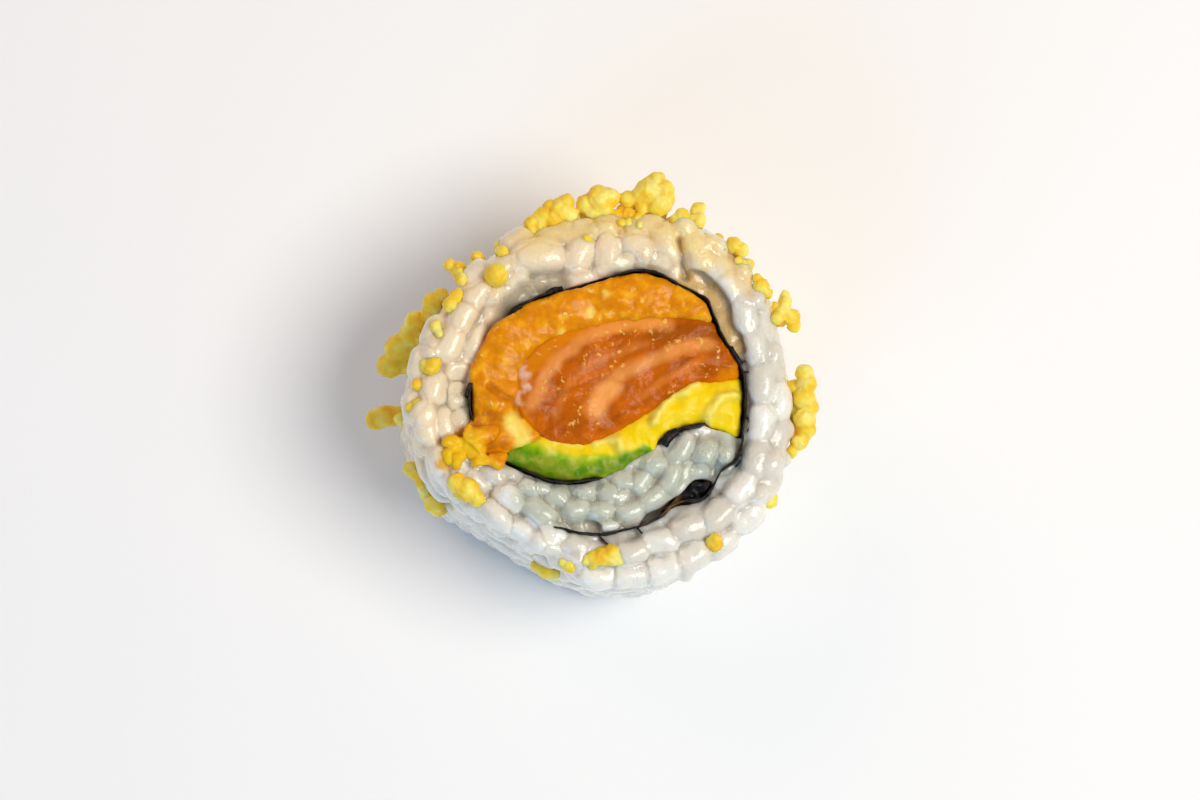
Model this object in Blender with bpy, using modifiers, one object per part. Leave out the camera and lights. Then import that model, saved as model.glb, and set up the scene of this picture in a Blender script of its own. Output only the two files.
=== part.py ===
"""One slice of uramaki, a sushi roll with its rice outside, lying on a cut face.

Blender 4.5, metres, +Z up. The origin is the middle of the footprint, on the surface it lies on.
The slice is one coil: a strip of nori rolled round mango, salmon and avocado, with cooked rice
on the nori's outer face, so that rice also lies inside the last turn, and fried crumbs outside.
Sizes below are millimetres on the slice's own plan, with the camera's right as +X and its top as +Y.
"""

import math
import random

import bmesh
import bpy
from mathutils import Matrix, Vector, noise

MM = 0.001

# Driving sizes of the slice
HEIGHT = 24.0  # a 190 mm roll cut in eight
MEAN_RADIUS = 19.65  # of the rice, out to the grains' backs
OUTLINE_WAVES = ((1, 1.44, 31), (2, 0.47, 3), (3, 0.96, 58), (5, 0.36, -15))  # order, mm, degrees
BARREL = 0.5  # how far the side swells at mid height
EDGE_ROUND = 0.8  # and how far it draws in at the cut faces
NORI_THICK = 0.5
GAP = 0.3  # kept between neighbouring solids
GRAIN = (5.7, 3.1, 2.6)  # a cooked short grain: length, width, thickness
GRAIN_FACETS = (5, 4)  # sides, and rings from end to end
SIDE_GRAIN_FACETS = (5, 3)
CRUMB_FACETS = (5, 3)

# Levels and depths
CORE_TOP = 22.1
CORE_INSET = 1.0  # the core stays this far inside the grains' backs
CORE_SIDES, CORE_LEVELS = 40, (0.12, 0.5, 0.88)  # its facets, and its bends as shares of its height
RICE_TOP = 22.6  # the middle of the grains on the cut face
MANGO_TOP, SALMON_TOP, AVOCADO_TOP, NORI_TOP = 23.4, 23.1, 22.8, 23.4
CUT_RELIEF = 0.7  # from the hollows to the crowns of a filling's cut face
CUT_PITCH, CUT_WAVE = 1.7, 0.35  # between the points that carry it, and its waves to the millimetre
RIM_DROP, RIM_WIDTH = 0.5, 1.0  # each filling is rounded off at its edges
NORI_RELIEF, NORI_WAVE = 0.4, 0.4

# The nori's route on the plan, from its end inside the roll, once round, to its outer end
NORI_ROUTE = (
    (11.2, -2.3), (9.3, -2.8), (6.9, -4.0), (3.6, -6.1), (0.0, -8.1), (-3.8, -8.7), (-7.2, -7.8),
    (-10.8, -6.1), (-12.9, -3.7), (-13.7, -0.3), (-13.2, 2.6), (-11.6, 5.9), (-9.3, 9.6),
    (-6.9, 11.0), (-2.6, 12.3), (2.2, 13.7), (5.2, 14.1), (8.8, 12.7), (11.7, 10.8), (13.1, 7.4),
    (15.1, 4.4), (15.7, 1.4), (15.5, -2.3), (14.9, -5.7), (13.1, -7.5), (11.3, -10.2),
    (8.2, -10.9), (6.2, -12.4), (0.6, -14.2), (-5.1, -13.5),
)  # fmt: skip
LOOP_END = (15.2, -3.9)  # where the avocado's foot meets the outer turn
ROUTE_STEPS = 2  # points to each span of a smooth line

SALMON_OUTLINE = (
    (-8.9, 0.0), (-8.2, 3.8), (-4.8, 7.1), (0.5, 8.6), (5.8, 9.1), (11.9, 8.6), (15.5, 6.0),
    (15.0, 2.9), (10.6, 2.4), (7.2, 0.3), (4.2, -1.5), (0.5, -3.8), (-2.9, -4.5), (-6.4, -3.4),
)  # fmt: skip
AVOCADO_OUTLINE = (
    (-10.6, -7.0), (-9.3, -5.3), (-6.2, -4.0), (-4.0, -1.5), (4.0, 1.0), (9.5, 3.8), (15.0, 3.9),
    (18.0, 2.0), (18.0, -6.0), (11.0, -4.5), (6.5, -6.5), (0.0, -10.5), (-6.5, -10.5),
)  # fmt: skip

# An empty pocket between the inner rice and the outer turn, open at the cut face
POCKET_OUTLINE = (
    (6.6, -11.9), (8.9, -9.6), (10.3, -8.2), (12.2, -8.4), (11.9, -9.6), (10.9, -10.6), (8.1, -11.1),
)  # fmt: skip
POCKET_DEPTH = 7.0
# A ledge outside the nori where the rice stands lower, as a slanted gap between two points of the route
LEDGE_MIDDLE, LEDGE_ANGLE, LEDGE_LENGTH, LEDGE_WIDTH = (13.2, 9.7), -52.0, 10.5, 2.2

# Grains: how many of each kind, and the least distance between two
TOP_GRAINS, TOP_SPACING = 90, 2.6
SIDE_GRAINS, SIDE_SPACING = 146, 3.75
SIZE_SPREAD = (0.88, 1.1)
TOP_LEAN, TOP_SINK = 0.25, 0.25  # how unevenly they lie on the cut face
RIM_INSET = 0.9  # from the outline to the middles of the outermost ones on the cut face
SIDE_FOOT, SIDE_HEAD = 1.3, HEIGHT - 1.6  # lowest and highest middles on the side
SIDE_SINK = (0.4, 0.5)  # of their thickness, from the side's line in to their middles
NORI_MARGIN = 1.0  # their middles stay this far from the nori's middle line
EDGE_BAND, EDGE_TURN = 2.6, 0.5  # those this near the outline lie along it, within this turn
SEED = 7

# Crumbs of fried batter that show: direction from the middle in degrees, distance from the
# outline, height, size of the largest bead, number of beads
CRUMBS = (
    (76, 0.8, 18.5, 3.6, 4), (71, 0.6, 20.5, 2.6, 2), (90, 0.6, 20.5, 3.4, 3), (101, 0.7, 20.5, 3.0, 3),
    (110, 0.4, 20.5, 1.8, 2), (119, 0.2, 15.0, 1.8, 1), (137, 0.8, 21.5, 1.7, 2), (130, -1.6, 23.2, 2.6, 1),
    (147, 0.3, 21.0, 2.0, 3), (151, 0.9, 11.0, 3.2, 2), (161, 1.6, 7.0, 3.6, 2), (166, -0.6, 19.5, 2.0, 2),
    (173, 0.0, 19.0, 1.2, 1), (181, 0.1, 19.0, 1.7, 2), (180, 2.0, 6.0, 3.2, 1), (184, 0.8, 15.0, 1.5, 1),
    (198, 0.6, 14.0, 2.2, 1), (209, 0.4, 12.0, 2.4, 2), (213, -1.3, 22.8, 3.2, 2), (232, -0.5, 22.8, 1.1, 1),
    (256, 0.5, 4.5, 2.4, 2), (271, -1.8, 23.2, 2.8, 3), (310, -1.2, 22.6, 1.9, 1), (6, 0.9, 15.5, 3.0, 3),
    (358, 0.9, 13.0, 3.4, 4), (350, 0.6, 14.5, 2.6, 2), (26, 0.7, 18.5, 2.4, 3), (37, 0.2, 20.5, 2.0, 1),
    (62, 0.7, 19.5, 1.6, 2), (66, -0.8, 21.6, 2.4, 3),
)  # fmt: skip
LOOSE_CRUMBS, LOOSE_SPACING, LOOSE_SIZE = 12, 8.0, (1.6, 2.8)  # more of them, spread over the side
BEAD_OFFSET, BEAD_SIZE = 0.42, (0.55, 0.85)  # a crumb's further beads, as shares of its largest one


def clear_scene():
    for obj in list(bpy.data.objects):
        bpy.data.objects.remove(obj)


def new_collection(name):
    collection = bpy.data.collections.new(name)
    bpy.context.scene.collection.children.link(collection)
    return collection


def finish(name, hex_colour, roughness, subsurface):
    """A plain material: the food's colour, its wetness and how much light it lets through."""
    material = bpy.data.materials.new(name)
    material.use_nodes = True
    shader = material.node_tree.nodes["Principled BSDF"]
    channels = [int(hex_colour[i : i + 2], 16) / 255 for i in (0, 2, 4)]
    linear = [c / 12.92 if c <= 0.04045 else ((c + 0.055) / 1.055) ** 2.4 for c in channels]
    shader.inputs["Base Color"].default_value = (*linear, 1.0)
    shader.inputs["Roughness"].default_value = roughness
    shader.inputs["Metallic"].default_value = 0.0
    shader.inputs["Subsurface Weight"].default_value = subsurface
    return material


def add_object(name, bm, collection, material=None):
    """An object from a bmesh drawn in millimetres."""
    bmesh.ops.scale(bm, vec=(MM, MM, MM), verts=bm.verts)
    mesh = bpy.data.meshes.new(name)
    bm.to_mesh(mesh)
    bm.free()
    obj = bpy.data.objects.new(name, mesh)
    collection.objects.link(obj)
    if material:
        mesh.materials.append(material)
    return obj


# Lines on the plan


def smooth_line(points, steps, closed=False):
    """A Catmull-Rom line through the points, with this many steps to each span."""
    count = len(points)
    line = []
    for i in range(count if closed else count - 1):
        around = [i - 1, i, i + 1, i + 2]
        around = [k % count for k in around] if closed else [min(max(k, 0), count - 1) for k in around]
        a, b, c, d = (Vector(points[k]) for k in around)
        for step in range(steps):
            t = step / steps
            bend = (2 * a - 5 * b + 4 * c - d) * t**2 + (3 * b - a - 3 * c + d) * t**3
            line.append(0.5 * (2 * b + (c - a) * t + bend))
    return line if closed else [*line, Vector(points[-1])]


def grown(line, distance):
    """A closed anticlockwise line moved outwards, with its corners mitred."""
    moved = []
    for i, point in enumerate(line):
        arriving = (point - line[i - 1]).normalized()
        leaving = (line[(i + 1) % len(line)] - point).normalized()
        along = (arriving + leaving).normalized()
        mitre = distance / max(along.dot(arriving), 0.4)
        moved.append(point + mitre * Vector((along.y, -along.x)))
    return moved


def lengthened(line, distance):
    """An open line with both of its ends drawn out."""
    head, tail = (line[0] - line[1]).normalized(), (line[-1] - line[-2]).normalized()
    return [line[0] + distance * head, *line[1:-1], line[-1] + distance * tail]


def anticlockwise(line):
    area = sum(a.x * b.y - b.x * a.y for a, b in zip(line, [*line[1:], line[0]]))
    return line if area > 0 else line[::-1]


def distance_to(line, point):
    """From a point to an open line."""
    nearest = math.inf
    for a, b in zip(line, line[1:]):
        along = b - a
        t = min(max((point - a).dot(along) / along.length_squared, 0), 1)
        nearest = min(nearest, (point - a - t * along).length)
    return nearest


def polar(angle, radius):
    return radius * math.cos(angle), radius * math.sin(angle)


def outline_radius(angle):
    """The rice's plan: a slightly squashed round, as the roll had set on its side."""
    radius = MEAN_RADIUS
    for order, depth, turn in OUTLINE_WAVES:
        radius += depth * math.cos(order * (angle - math.radians(turn)))
    return radius


def side_radius(angle, height):
    """Out to the grains' backs on the side, with its slight barrel."""
    across = 2 * height / HEIGHT - 1
    return outline_radius(angle) + BARREL * (1 - across**2) - EDGE_ROUND * abs(across) ** 8


# Solids on those lines


def prism(name, line, low, high, collection, material=None):
    """An upright solid on a closed line."""
    bm = bmesh.new()
    face = bm.faces.new([bm.verts.new((p.x, p.y, low)) for p in anticlockwise(line)])
    raised = bmesh.ops.extrude_face_region(bm, geom=[face])["geom"]
    top = [v for v in raised if isinstance(v, bmesh.types.BMVert)]
    bmesh.ops.translate(bm, verts=top, vec=(0, 0, high - low))
    bmesh.ops.recalc_face_normals(bm, faces=bm.faces)
    return add_object(name, bm, collection, material)


def strip(name, line, low, high, thickness, collection, material=None):
    """An upright sheet along an open line, given its thickness by Solidify."""
    bm = bmesh.new()
    foot = [bm.verts.new((p.x, p.y, low)) for p in line]
    edges = [bm.edges.new(pair) for pair in zip(foot, foot[1:])]
    raised = bmesh.ops.extrude_edge_only(bm, edges=edges)["geom"]
    top = [v for v in raised if isinstance(v, bmesh.types.BMVert)]
    bmesh.ops.translate(bm, verts=top, vec=(0, 0, high - low))
    sheet = add_object(name, bm, collection, material)
    wall = sheet.modifiers.new("Thickness", "SOLIDIFY")
    wall.thickness = thickness * MM
    wall.offset = 0.0
    return sheet


def combine(obj, operation, other):
    """A Boolean with an object or a collection, applied."""
    modifier = obj.modifiers.new(operation.title(), "BOOLEAN")
    modifier.operation = operation
    modifier.solver = "MANIFOLD"
    if isinstance(other, bpy.types.Collection):
        modifier.operand_type = "COLLECTION"
        modifier.collection = other
    else:
        modifier.object = other
    apply_modifiers(obj)


def apply_modifiers(obj):
    graph = bpy.context.evaluated_depsgraph_get()
    graph.update()
    mesh = bpy.data.meshes.new_from_object(obj.evaluated_get(graph))
    obj.modifiers.clear()
    obj.data = mesh


def keep_largest_body(obj):
    """Drops the scraps that a cut leaves loose, and the surfaces of sealed hollows."""
    bm = bmesh.new()
    bm.from_mesh(obj.data)
    left, bodies = set(bm.verts), []
    while left:
        body, edge_of_body = set(), [left.pop()]
        while edge_of_body:
            vert = edge_of_body.pop()
            body.add(vert)
            for edge in vert.link_edges:
                other = edge.other_vert(vert)
                if other in left:
                    left.remove(other)
                    edge_of_body.append(other)
        bodies.append(body)
    bodies.sort(key=len)
    scraps = [v for body in bodies[:-1] for v in body]
    bmesh.ops.delete(bm, geom=scraps, context="VERTS")
    bmesh.ops.triangulate(bm, faces=bm.faces)
    bm.to_mesh(obj.data)
    bm.free()


def roughen_cut_face(obj, level):
    """Dices the flat top into squares and moves its points, so that the knife's cut is uneven."""
    bm = bmesh.new()
    bm.from_mesh(obj.data)
    bmesh.ops.scale(bm, vec=(1 / MM,) * 3, verts=bm.verts)
    bmesh.ops.dissolve_limit(bm, angle_limit=math.radians(1), verts=bm.verts, edges=bm.edges)
    reach = int(MEAN_RADIUS / CUT_PITCH) + 1
    for axis in (Vector((1, 0, 0)), Vector((0, 1, 0))):
        for k in range(-reach, reach + 1):
            faces = [f for f in bm.faces if f.normal.z > 0.9]
            geom = {*faces, *(e for f in faces for e in f.edges), *(v for f in faces for v in f.verts)}
            plane = axis * (k + 0.37) * CUT_PITCH
            bmesh.ops.bisect_plane(bm, geom=list(geom), plane_co=plane, plane_no=axis, dist=0.02)
    tops = {v for f in bm.faces if f.normal.z > 0.9 for v in f.verts}
    rim = [e for e in bm.edges if sorted(f.normal.z > 0.9 for f in e.link_faces) == [False, True]]
    rim = [[v.co.to_2d() for v in edge.verts] for edge in rim]
    heights = {}
    for vert in tops:
        to_rim = min(distance_to(edge, vert.co.to_2d()) for edge in rim)
        drop = RIM_DROP * max(0, 1 - to_rim / RIM_WIDTH) ** 2
        spot = Vector((vert.co.x, vert.co.y, level)) * CUT_WAVE
        heights[vert] = level + CUT_RELIEF * noise.noise(spot) - drop
    for vert, height in heights.items():
        vert.co.z = height
    bmesh.ops.triangulate(bm, faces=bm.faces)
    bmesh.ops.scale(bm, vec=(MM,) * 3, verts=bm.verts)
    bm.to_mesh(obj.data)
    bm.free()


# Nori: a sheet of pressed seaweed, 105 mm along its route, standing on its cut edge


def nori_lines():
    """The whole route, and the closed line round the fillings."""
    route = smooth_line(NORI_ROUTE, ROUTE_STEPS)
    end = min(range(len(route) // 2, len(route)), key=lambda i: (route[i] - Vector(LOOP_END)).length)
    return route, anticlockwise(route[: end + 1])


def make_nori(parts, route):
    nori = strip("nori", route, 0.0, NORI_TOP, NORI_THICK, parts, finish("nori_sheet", "1B1D16", 0.55, 0.0))
    apply_modifiers(nori)
    for vert in nori.data.vertices:
        if vert.co.z > HEIGHT * MM / 2:
            vert.co.z += NORI_RELIEF * MM * noise.noise(vert.co / MM * NORI_WAVE)
    return nori


# Fillings: three strips laid along the roll, each cut to the room that the nori leaves


def make_fillings(parts, cutters, loop):
    room_line = grown(loop, -(NORI_THICK / 2 + GAP))
    below, above = -1.0, HEIGHT + 1.0
    room = prism("room", room_line, 0.0, HEIGHT, cutters)
    salmon_line = anticlockwise(smooth_line(SALMON_OUTLINE, ROUTE_STEPS, closed=True))
    avocado_line = anticlockwise(smooth_line(AVOCADO_OUTLINE, ROUTE_STEPS, closed=True))
    salmon_room = prism("salmon_room", grown(salmon_line, GAP), below, above, cutters)
    avocado_room = prism("avocado_room", grown(avocado_line, GAP), below, above, cutters)

    salmon = prism("salmon", salmon_line, below, above, parts, finish("salmon_flesh", "D9791E", 0.3, 0.2))
    combine(salmon, "INTERSECT", room)
    avocado = prism("avocado", avocado_line, below, above, parts, finish("avocado_flesh", "F2D41E", 0.4, 0.2))
    combine(avocado, "INTERSECT", room)
    combine(avocado, "DIFFERENCE", salmon_room)
    mango = prism("mango", room_line, 0.0, HEIGHT, parts, finish("mango_flesh", "F0A014", 0.3, 0.2))
    combine(mango, "DIFFERENCE", salmon_room)
    combine(mango, "DIFFERENCE", avocado_room)
    for filling, level in ((salmon, SALMON_TOP), (avocado, AVOCADO_TOP), (mango, MANGO_TOP)):
        keep_largest_body(filling)
        roughen_cut_face(filling, level)


# Rice: one mass of cooked grains on the nori's outer face, with the crumbs that stick to it


def make_core(parts):
    """The rice below its outermost grains, as a low barrel on the roll's plan."""
    bm = bmesh.new()
    bmesh.ops.create_cone(bm, cap_ends=True, segments=CORE_SIDES, radius1=1, radius2=1, depth=CORE_TOP)
    bmesh.ops.translate(bm, verts=bm.verts, vec=(0, 0, CORE_TOP / 2))
    for level in CORE_LEVELS:
        geom = [*bm.verts, *bm.edges, *bm.faces]
        bmesh.ops.bisect_plane(bm, geom=geom, plane_co=(0, 0, level * CORE_TOP), plane_no=(0, 0, 1))
    for vert in bm.verts:
        angle = math.atan2(vert.co.y, vert.co.x)
        radius = side_radius(angle, vert.co.z) - CORE_INSET
        vert.co.x, vert.co.y = polar(angle, radius)
    return add_object("rice", bm, parts, finish("cooked_rice", "EDE6D3", 0.35, 0.3))


def add_bead(name, place, outwards, turn, size, facets, collection):
    """A blunt-ended bead of the given length, width and thickness, lying on a surface."""
    bm = bmesh.new()
    bmesh.ops.create_uvsphere(bm, u_segments=facets[0], v_segments=facets[1], radius=1)
    for vert in bm.verts:
        along = min(abs(vert.co.z), 0.999)
        bluntness = math.sqrt((1 - along**3) / (1 - along**2))
        vert.co.x *= bluntness
        vert.co.y *= bluntness
    lie_along_x = Matrix.Rotation(math.pi / 2, 4, "Y")
    stretch = Matrix.Diagonal((size[0] / 2, size[1] / 2, size[2] / 2, 1))
    spin = Matrix.Rotation(turn, 4, "Z")
    stand = Vector((0, 0, 1)).rotation_difference(outwards).to_matrix().to_4x4()
    placing = Matrix.Translation(place) @ stand @ spin @ stretch @ lie_along_x
    bmesh.ops.transform(bm, matrix=placing, verts=bm.verts)
    return add_object(name, bm, collection)


def spread(draw, candidates, spacing, most):
    """Takes drawn points in turn, leaving out each that is too near one already taken."""
    taken = []
    for _ in range(candidates):
        point = draw()
        if point is not None and all((point - other).length > spacing for other in taken):
            taken.append(point)
        if len(taken) == most:
            break
    return taken


def on_ledge(point):
    """Whether a point of the plan is over the low ledge beside the nori."""
    along = Vector((math.cos(math.radians(LEDGE_ANGLE)), math.sin(math.radians(LEDGE_ANGLE))))
    offset = point - Vector(LEDGE_MIDDLE)
    return abs(offset.dot(along)) < LEDGE_LENGTH / 2 and abs(offset.cross(along)) < LEDGE_WIDTH / 2


def inside(line, point):
    crossed = False
    for a, b in zip(line, [*line[1:], line[0]]):
        if (a.y > point.y) != (b.y > point.y) and point.x < a.x + (b.x - a.x) * (point.y - a.y) / (b.y - a.y):
            crossed = not crossed
    return crossed


def place_grains(rng, route, loop, collection):
    def draw_on_top():
        angle, share = rng.uniform(-math.pi, math.pi), math.sqrt(rng.random())
        point = Vector(polar(angle, share * (outline_radius(angle) - RIM_INSET)))
        blocked = inside(loop, point) or distance_to(route, point) < NORI_MARGIN or on_ledge(point)
        return None if blocked else point

    for i, point in enumerate(spread(draw_on_top, 6000, TOP_SPACING, TOP_GRAINS)):
        lean = Vector((rng.uniform(-TOP_LEAN, TOP_LEAN), rng.uniform(-TOP_LEAN, TOP_LEAN), 1)).normalized()
        size = [side * rng.uniform(*SIZE_SPREAD) for side in GRAIN]
        height = RICE_TOP - TOP_SINK * rng.random()
        angle = math.atan2(point.y, point.x)
        by_edge = outline_radius(angle) - point.length < EDGE_BAND
        along_edge = angle + math.pi / 2 + rng.uniform(-EDGE_TURN, EDGE_TURN)
        turn = along_edge if by_edge else rng.uniform(0, math.pi)
        add_bead(f"top_grain_{i}", (point.x, point.y, height), lean, turn, size, GRAIN_FACETS, collection)

    def draw_on_side():
        angle, height = rng.uniform(-math.pi, math.pi), rng.uniform(SIDE_FOOT, SIDE_HEAD)
        return Vector((*polar(angle, side_radius(angle, height)), height))

    for i, point in enumerate(spread(draw_on_side, 9000, SIDE_SPACING, SIDE_GRAINS)):
        outwards = Vector((point.x, point.y, 0)).normalized()
        size = [side * rng.uniform(*SIZE_SPREAD) for side in GRAIN]
        middle = point - outwards * size[2] * rng.uniform(*SIDE_SINK)
        turn = rng.uniform(0, math.pi)
        add_bead(f"side_grain_{i}", middle, outwards, turn, size, SIDE_GRAIN_FACETS, collection)


def add_crumb(rng, name, middle, outwards, size, beads, collection):
    """A few round beads of batter fried together."""
    across = outwards.orthogonal().normalized()
    for k in range(beads):
        around = Matrix.Rotation(rng.uniform(0, 2 * math.pi), 3, outwards) @ across
        offset = around * (BEAD_OFFSET * size if k else 0.0)
        width = size * (rng.uniform(*BEAD_SIZE) if k else 1.0)
        bead = (width * rng.uniform(1.0, 1.25), width, width * 0.85)
        turn = rng.uniform(0, math.pi)
        add_bead(f"{name}_{k}", middle + offset, outwards, turn, bead, CRUMB_FACETS, collection)


def place_crumbs(rng, collection):
    for i, (degrees, out, height, size, beads) in enumerate(CRUMBS):
        angle = math.radians(degrees)
        on_face = height > RICE_TOP - 1.0
        outwards = Vector((0, 0, 1)) if on_face else Vector((*polar(angle, 1.0), 0))
        middle = Vector((*polar(angle, side_radius(angle, height) + out), height))
        add_crumb(rng, f"crumb_{i}", middle, outwards, size, beads, collection)

    def draw_on_side():
        angle, height = rng.uniform(-math.pi, math.pi), rng.uniform(2.5, HEIGHT - 4.5)
        return Vector((*polar(angle, side_radius(angle, height) + 0.2), height))

    for i, point in enumerate(spread(draw_on_side, 2000, LOOSE_SPACING, LOOSE_CRUMBS)):
        outwards = Vector((point.x, point.y, 0)).normalized()
        size = rng.uniform(*LOOSE_SIZE)
        add_crumb(rng, f"loose_crumb_{i}", point, outwards, size, rng.randint(1, 2), collection)


def make_rice(parts, cutters, route, loop):
    rng = random.Random(SEED)
    rice = make_core(parts)
    grains = new_collection("grains and crumbs")
    place_grains(rng, route, loop, grains)
    place_crumbs(rng, grains)
    combine(rice, "UNION", grains)
    for obj in list(grains.objects):
        bpy.data.objects.remove(obj)
    bpy.data.collections.remove(grains)

    below, above = -3.0, HEIGHT + 3.0
    slot = strip("nori_slot", lengthened(route, GAP), below, above, NORI_THICK + 2 * GAP, cutters)
    apply_modifiers(slot)
    hole = prism("filling_hole", loop, below, above, cutters)
    pocket = prism("pocket", [Vector(p) for p in POCKET_OUTLINE], HEIGHT - POCKET_DEPTH, above, cutters)
    wide = 2 * MEAN_RADIUS
    square = [Vector(corner) for corner in ((-wide, -wide), (wide, -wide), (wide, wide), (-wide, wide))]
    floor = prism("below_floor", square, -HEIGHT, 0, cutters)
    for cutter in (slot, hole, pocket, floor):
        combine(rice, "DIFFERENCE", cutter)
    keep_largest_body(rice)
    return rice


def centre_on_footprint(parts):
    """Moves everything together so that the origin is the middle of the footprint."""
    corners = [v.co for obj in parts.objects for v in obj.data.vertices]
    middle = [(min(c[axis] for c in corners) + max(c[axis] for c in corners)) / 2 for axis in (0, 1)]
    for obj in parts.objects:
        obj.data.transform(Matrix.Translation((-middle[0], -middle[1], 0)))


def main():
    clear_scene()
    parts = new_collection("uramaki roll")
    cutters = new_collection("cutters")
    route, loop = nori_lines()
    make_nori(parts, route)
    make_fillings(parts, cutters, loop)
    make_rice(parts, cutters, route, loop)
    centre_on_footprint(parts)
    for cutter in cutters.objects:
        cutter.hide_render = True
        cutter.display_type = "WIRE"


main()
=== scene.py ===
import math
import random

import bpy
import numpy as np
from mathutils import Matrix, Vector, noise


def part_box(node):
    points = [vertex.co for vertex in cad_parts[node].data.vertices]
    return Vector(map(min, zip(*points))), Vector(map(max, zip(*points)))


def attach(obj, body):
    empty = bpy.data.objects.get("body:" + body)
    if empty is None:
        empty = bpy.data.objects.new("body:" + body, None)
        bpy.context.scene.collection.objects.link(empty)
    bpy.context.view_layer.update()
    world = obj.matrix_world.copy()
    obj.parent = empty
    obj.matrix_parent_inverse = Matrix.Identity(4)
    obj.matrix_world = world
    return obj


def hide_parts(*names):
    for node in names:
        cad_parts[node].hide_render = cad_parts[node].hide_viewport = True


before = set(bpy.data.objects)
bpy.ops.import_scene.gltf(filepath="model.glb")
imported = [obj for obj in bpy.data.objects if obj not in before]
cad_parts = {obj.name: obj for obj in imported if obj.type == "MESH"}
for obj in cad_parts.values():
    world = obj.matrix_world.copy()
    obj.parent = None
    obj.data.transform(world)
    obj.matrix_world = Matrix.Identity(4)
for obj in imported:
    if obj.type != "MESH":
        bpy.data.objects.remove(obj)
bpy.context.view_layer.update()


# Nori, the sheet that the roll is built on: seaweed pressed and dried like paper, half of a
# standard sheet rolled along its 105 mm side. It has taken up water from the rice, so it is soft
# and crinkled, and its cut edge is ragged.
MM = 0.001
PER_MM = 1000.0
HEIGHT = 24.0
NORI_BOX_MIDDLE = Vector((1.0, -0.05))  # on the plan of the cut face, where all pieces are drawn in mm
NORI_THICKNESS, NORI_TOP = 0.18, 23.4
NORI_ROWS = (5, 10, 14, 17, 19, 20, 20.8, 21.5, 22.0, 22.5, 22.9, 23.2)
NORI_ROUTE = (
    (11.2, -2.3), (9.3, -2.8), (6.9, -4.0), (3.6, -6.1), (0.0, -8.1), (-3.8, -8.7), (-7.2, -7.8),
    (-10.8, -6.1), (-12.9, -3.7), (-13.7, -0.3), (-13.2, 2.6), (-11.6, 5.9), (-9.3, 9.6),
    (-6.9, 11.0), (-2.6, 12.3), (2.2, 13.7), (5.2, 14.1), (8.8, 12.7), (11.7, 10.8), (13.1, 7.4),
    (15.1, 4.4), (15.7, 1.4), (15.5, -2.3), (14.9, -5.7), (13.1, -7.5), (11.3, -10.2),
    (8.2, -10.9), (6.2, -12.4), (0.6, -14.2), (-5.1, -13.5),
)  # fmt: skip
ROUTE_STEPS = 12
LOOP_END = Vector((15.2, -3.9))  # where the coil closes round the fillings
CRUMPLE_FOOT, CRUMPLE_TOP, CRUMPLE_VOXEL = 17.2, 22.2, 0.25
POCKET_OUTLINE = (  # where the crumpled sheet shows at the outer turn
    (6.6, -11.9), (8.9, -9.6), (10.3, -8.2), (12.2, -8.4), (11.9, -9.6), (10.9, -10.6), (8.1, -11.1),
)  # fmt: skip
PLY_FOOT, TATTER_THICKNESS = 19.5, 0.15
PLIES = (  # where the sheet is doubled or curled, and how thick it is there
    (((-9.7, 8.7), (-9.1, 9.7), (-8.4, 10.2)), 0.55),
    (((-5.4, 11.6), (-4.6, 12.0), (-3.8, 12.3)), 0.5),
    (((-13.6, 1.7), (-13.9, 0.9), (-14.0, 0.2)), 0.3),
    (((14.1, 6.0), (14.8, 5.0), (15.4, 4.1)), 0.4),
    (((6.9, -4.5), (7.5, -3.7), (8.4, -3.2)), 1.0),
    (((8.2, -3.2), (9.4, -2.8), (10.8, -2.5)), 0.3),
)  # fmt: skip
SUNK = (  # where the fillings or the rice cover its edge, and how far it is sunk
    (((-10.2, 8.4), (-12.2, 5.0)), 1.5),
    (((-13.2, -3.8), (-11.4, -5.6), (-9.4, -6.8)), 1.4),
    (((1.2, -7.5), (5.4, -5.0)), 1.4),
    (((-3.4, 12.3), (0.0, 13.2)), 1.4),
)
BROWN_FILM = ((4.7, -12.3), (6.6, -11.4), (8.2, -10.3))
TATTERS = (  # shreds of the cut edge
    ((-0.1, -14.1), (0.5, -14.7), (1.0, -15.1)),
    ((4.0, -13.3), (4.5, -13.9), (5.0, -14.1)),
    ((15.2, 4.3), (15.8, 4.6), (16.2, 4.4)),
    ((15.5, 3.3), (16.2, 3.2), (16.5, 2.8)),
    ((15.6, -1.2), (16.1, -2.2), (15.9, -3.0)),
    ((15.0, -5.0), (15.3, -5.8), (14.6, -6.8)),
)  # fmt: skip

low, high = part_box("nori")
plan_origin = Vector(((low[0] + high[0]) / 2, (low[1] + high[1]) / 2)) / MM - NORI_BOX_MIDDLE


def select_only(*objects):
    bpy.ops.object.select_all(action="DESELECT")
    for obj in objects:
        obj.select_set(True)
    bpy.context.view_layer.objects.active = objects[0]


def apply_modifier(obj, name, kind, **settings):
    select_only(obj)
    modifier = obj.modifiers.new(name, kind)
    for key, value in settings.items():
        setattr(modifier, key, value)
    bpy.ops.object.modifier_apply(modifier=modifier.name)


def remesh(obj, voxel):
    apply_modifier(obj, "Remesh", "REMESH", mode="VOXEL", voxel_size=voxel)


def soften(obj, rounds):
    apply_modifier(obj, "Soften", "SMOOTH", factor=0.5, iterations=rounds)


def add_rows(obj, heights):
    """Cuts a row of points round an object at each height."""
    select_only(obj)
    bpy.ops.object.mode_set(mode="EDIT")
    for height in heights:
        bpy.ops.mesh.select_all(action="SELECT")
        bpy.ops.mesh.bisect(plane_co=(0, 0, height), plane_no=(0, 0, 1))
    bpy.ops.object.mode_set(mode="OBJECT")


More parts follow.
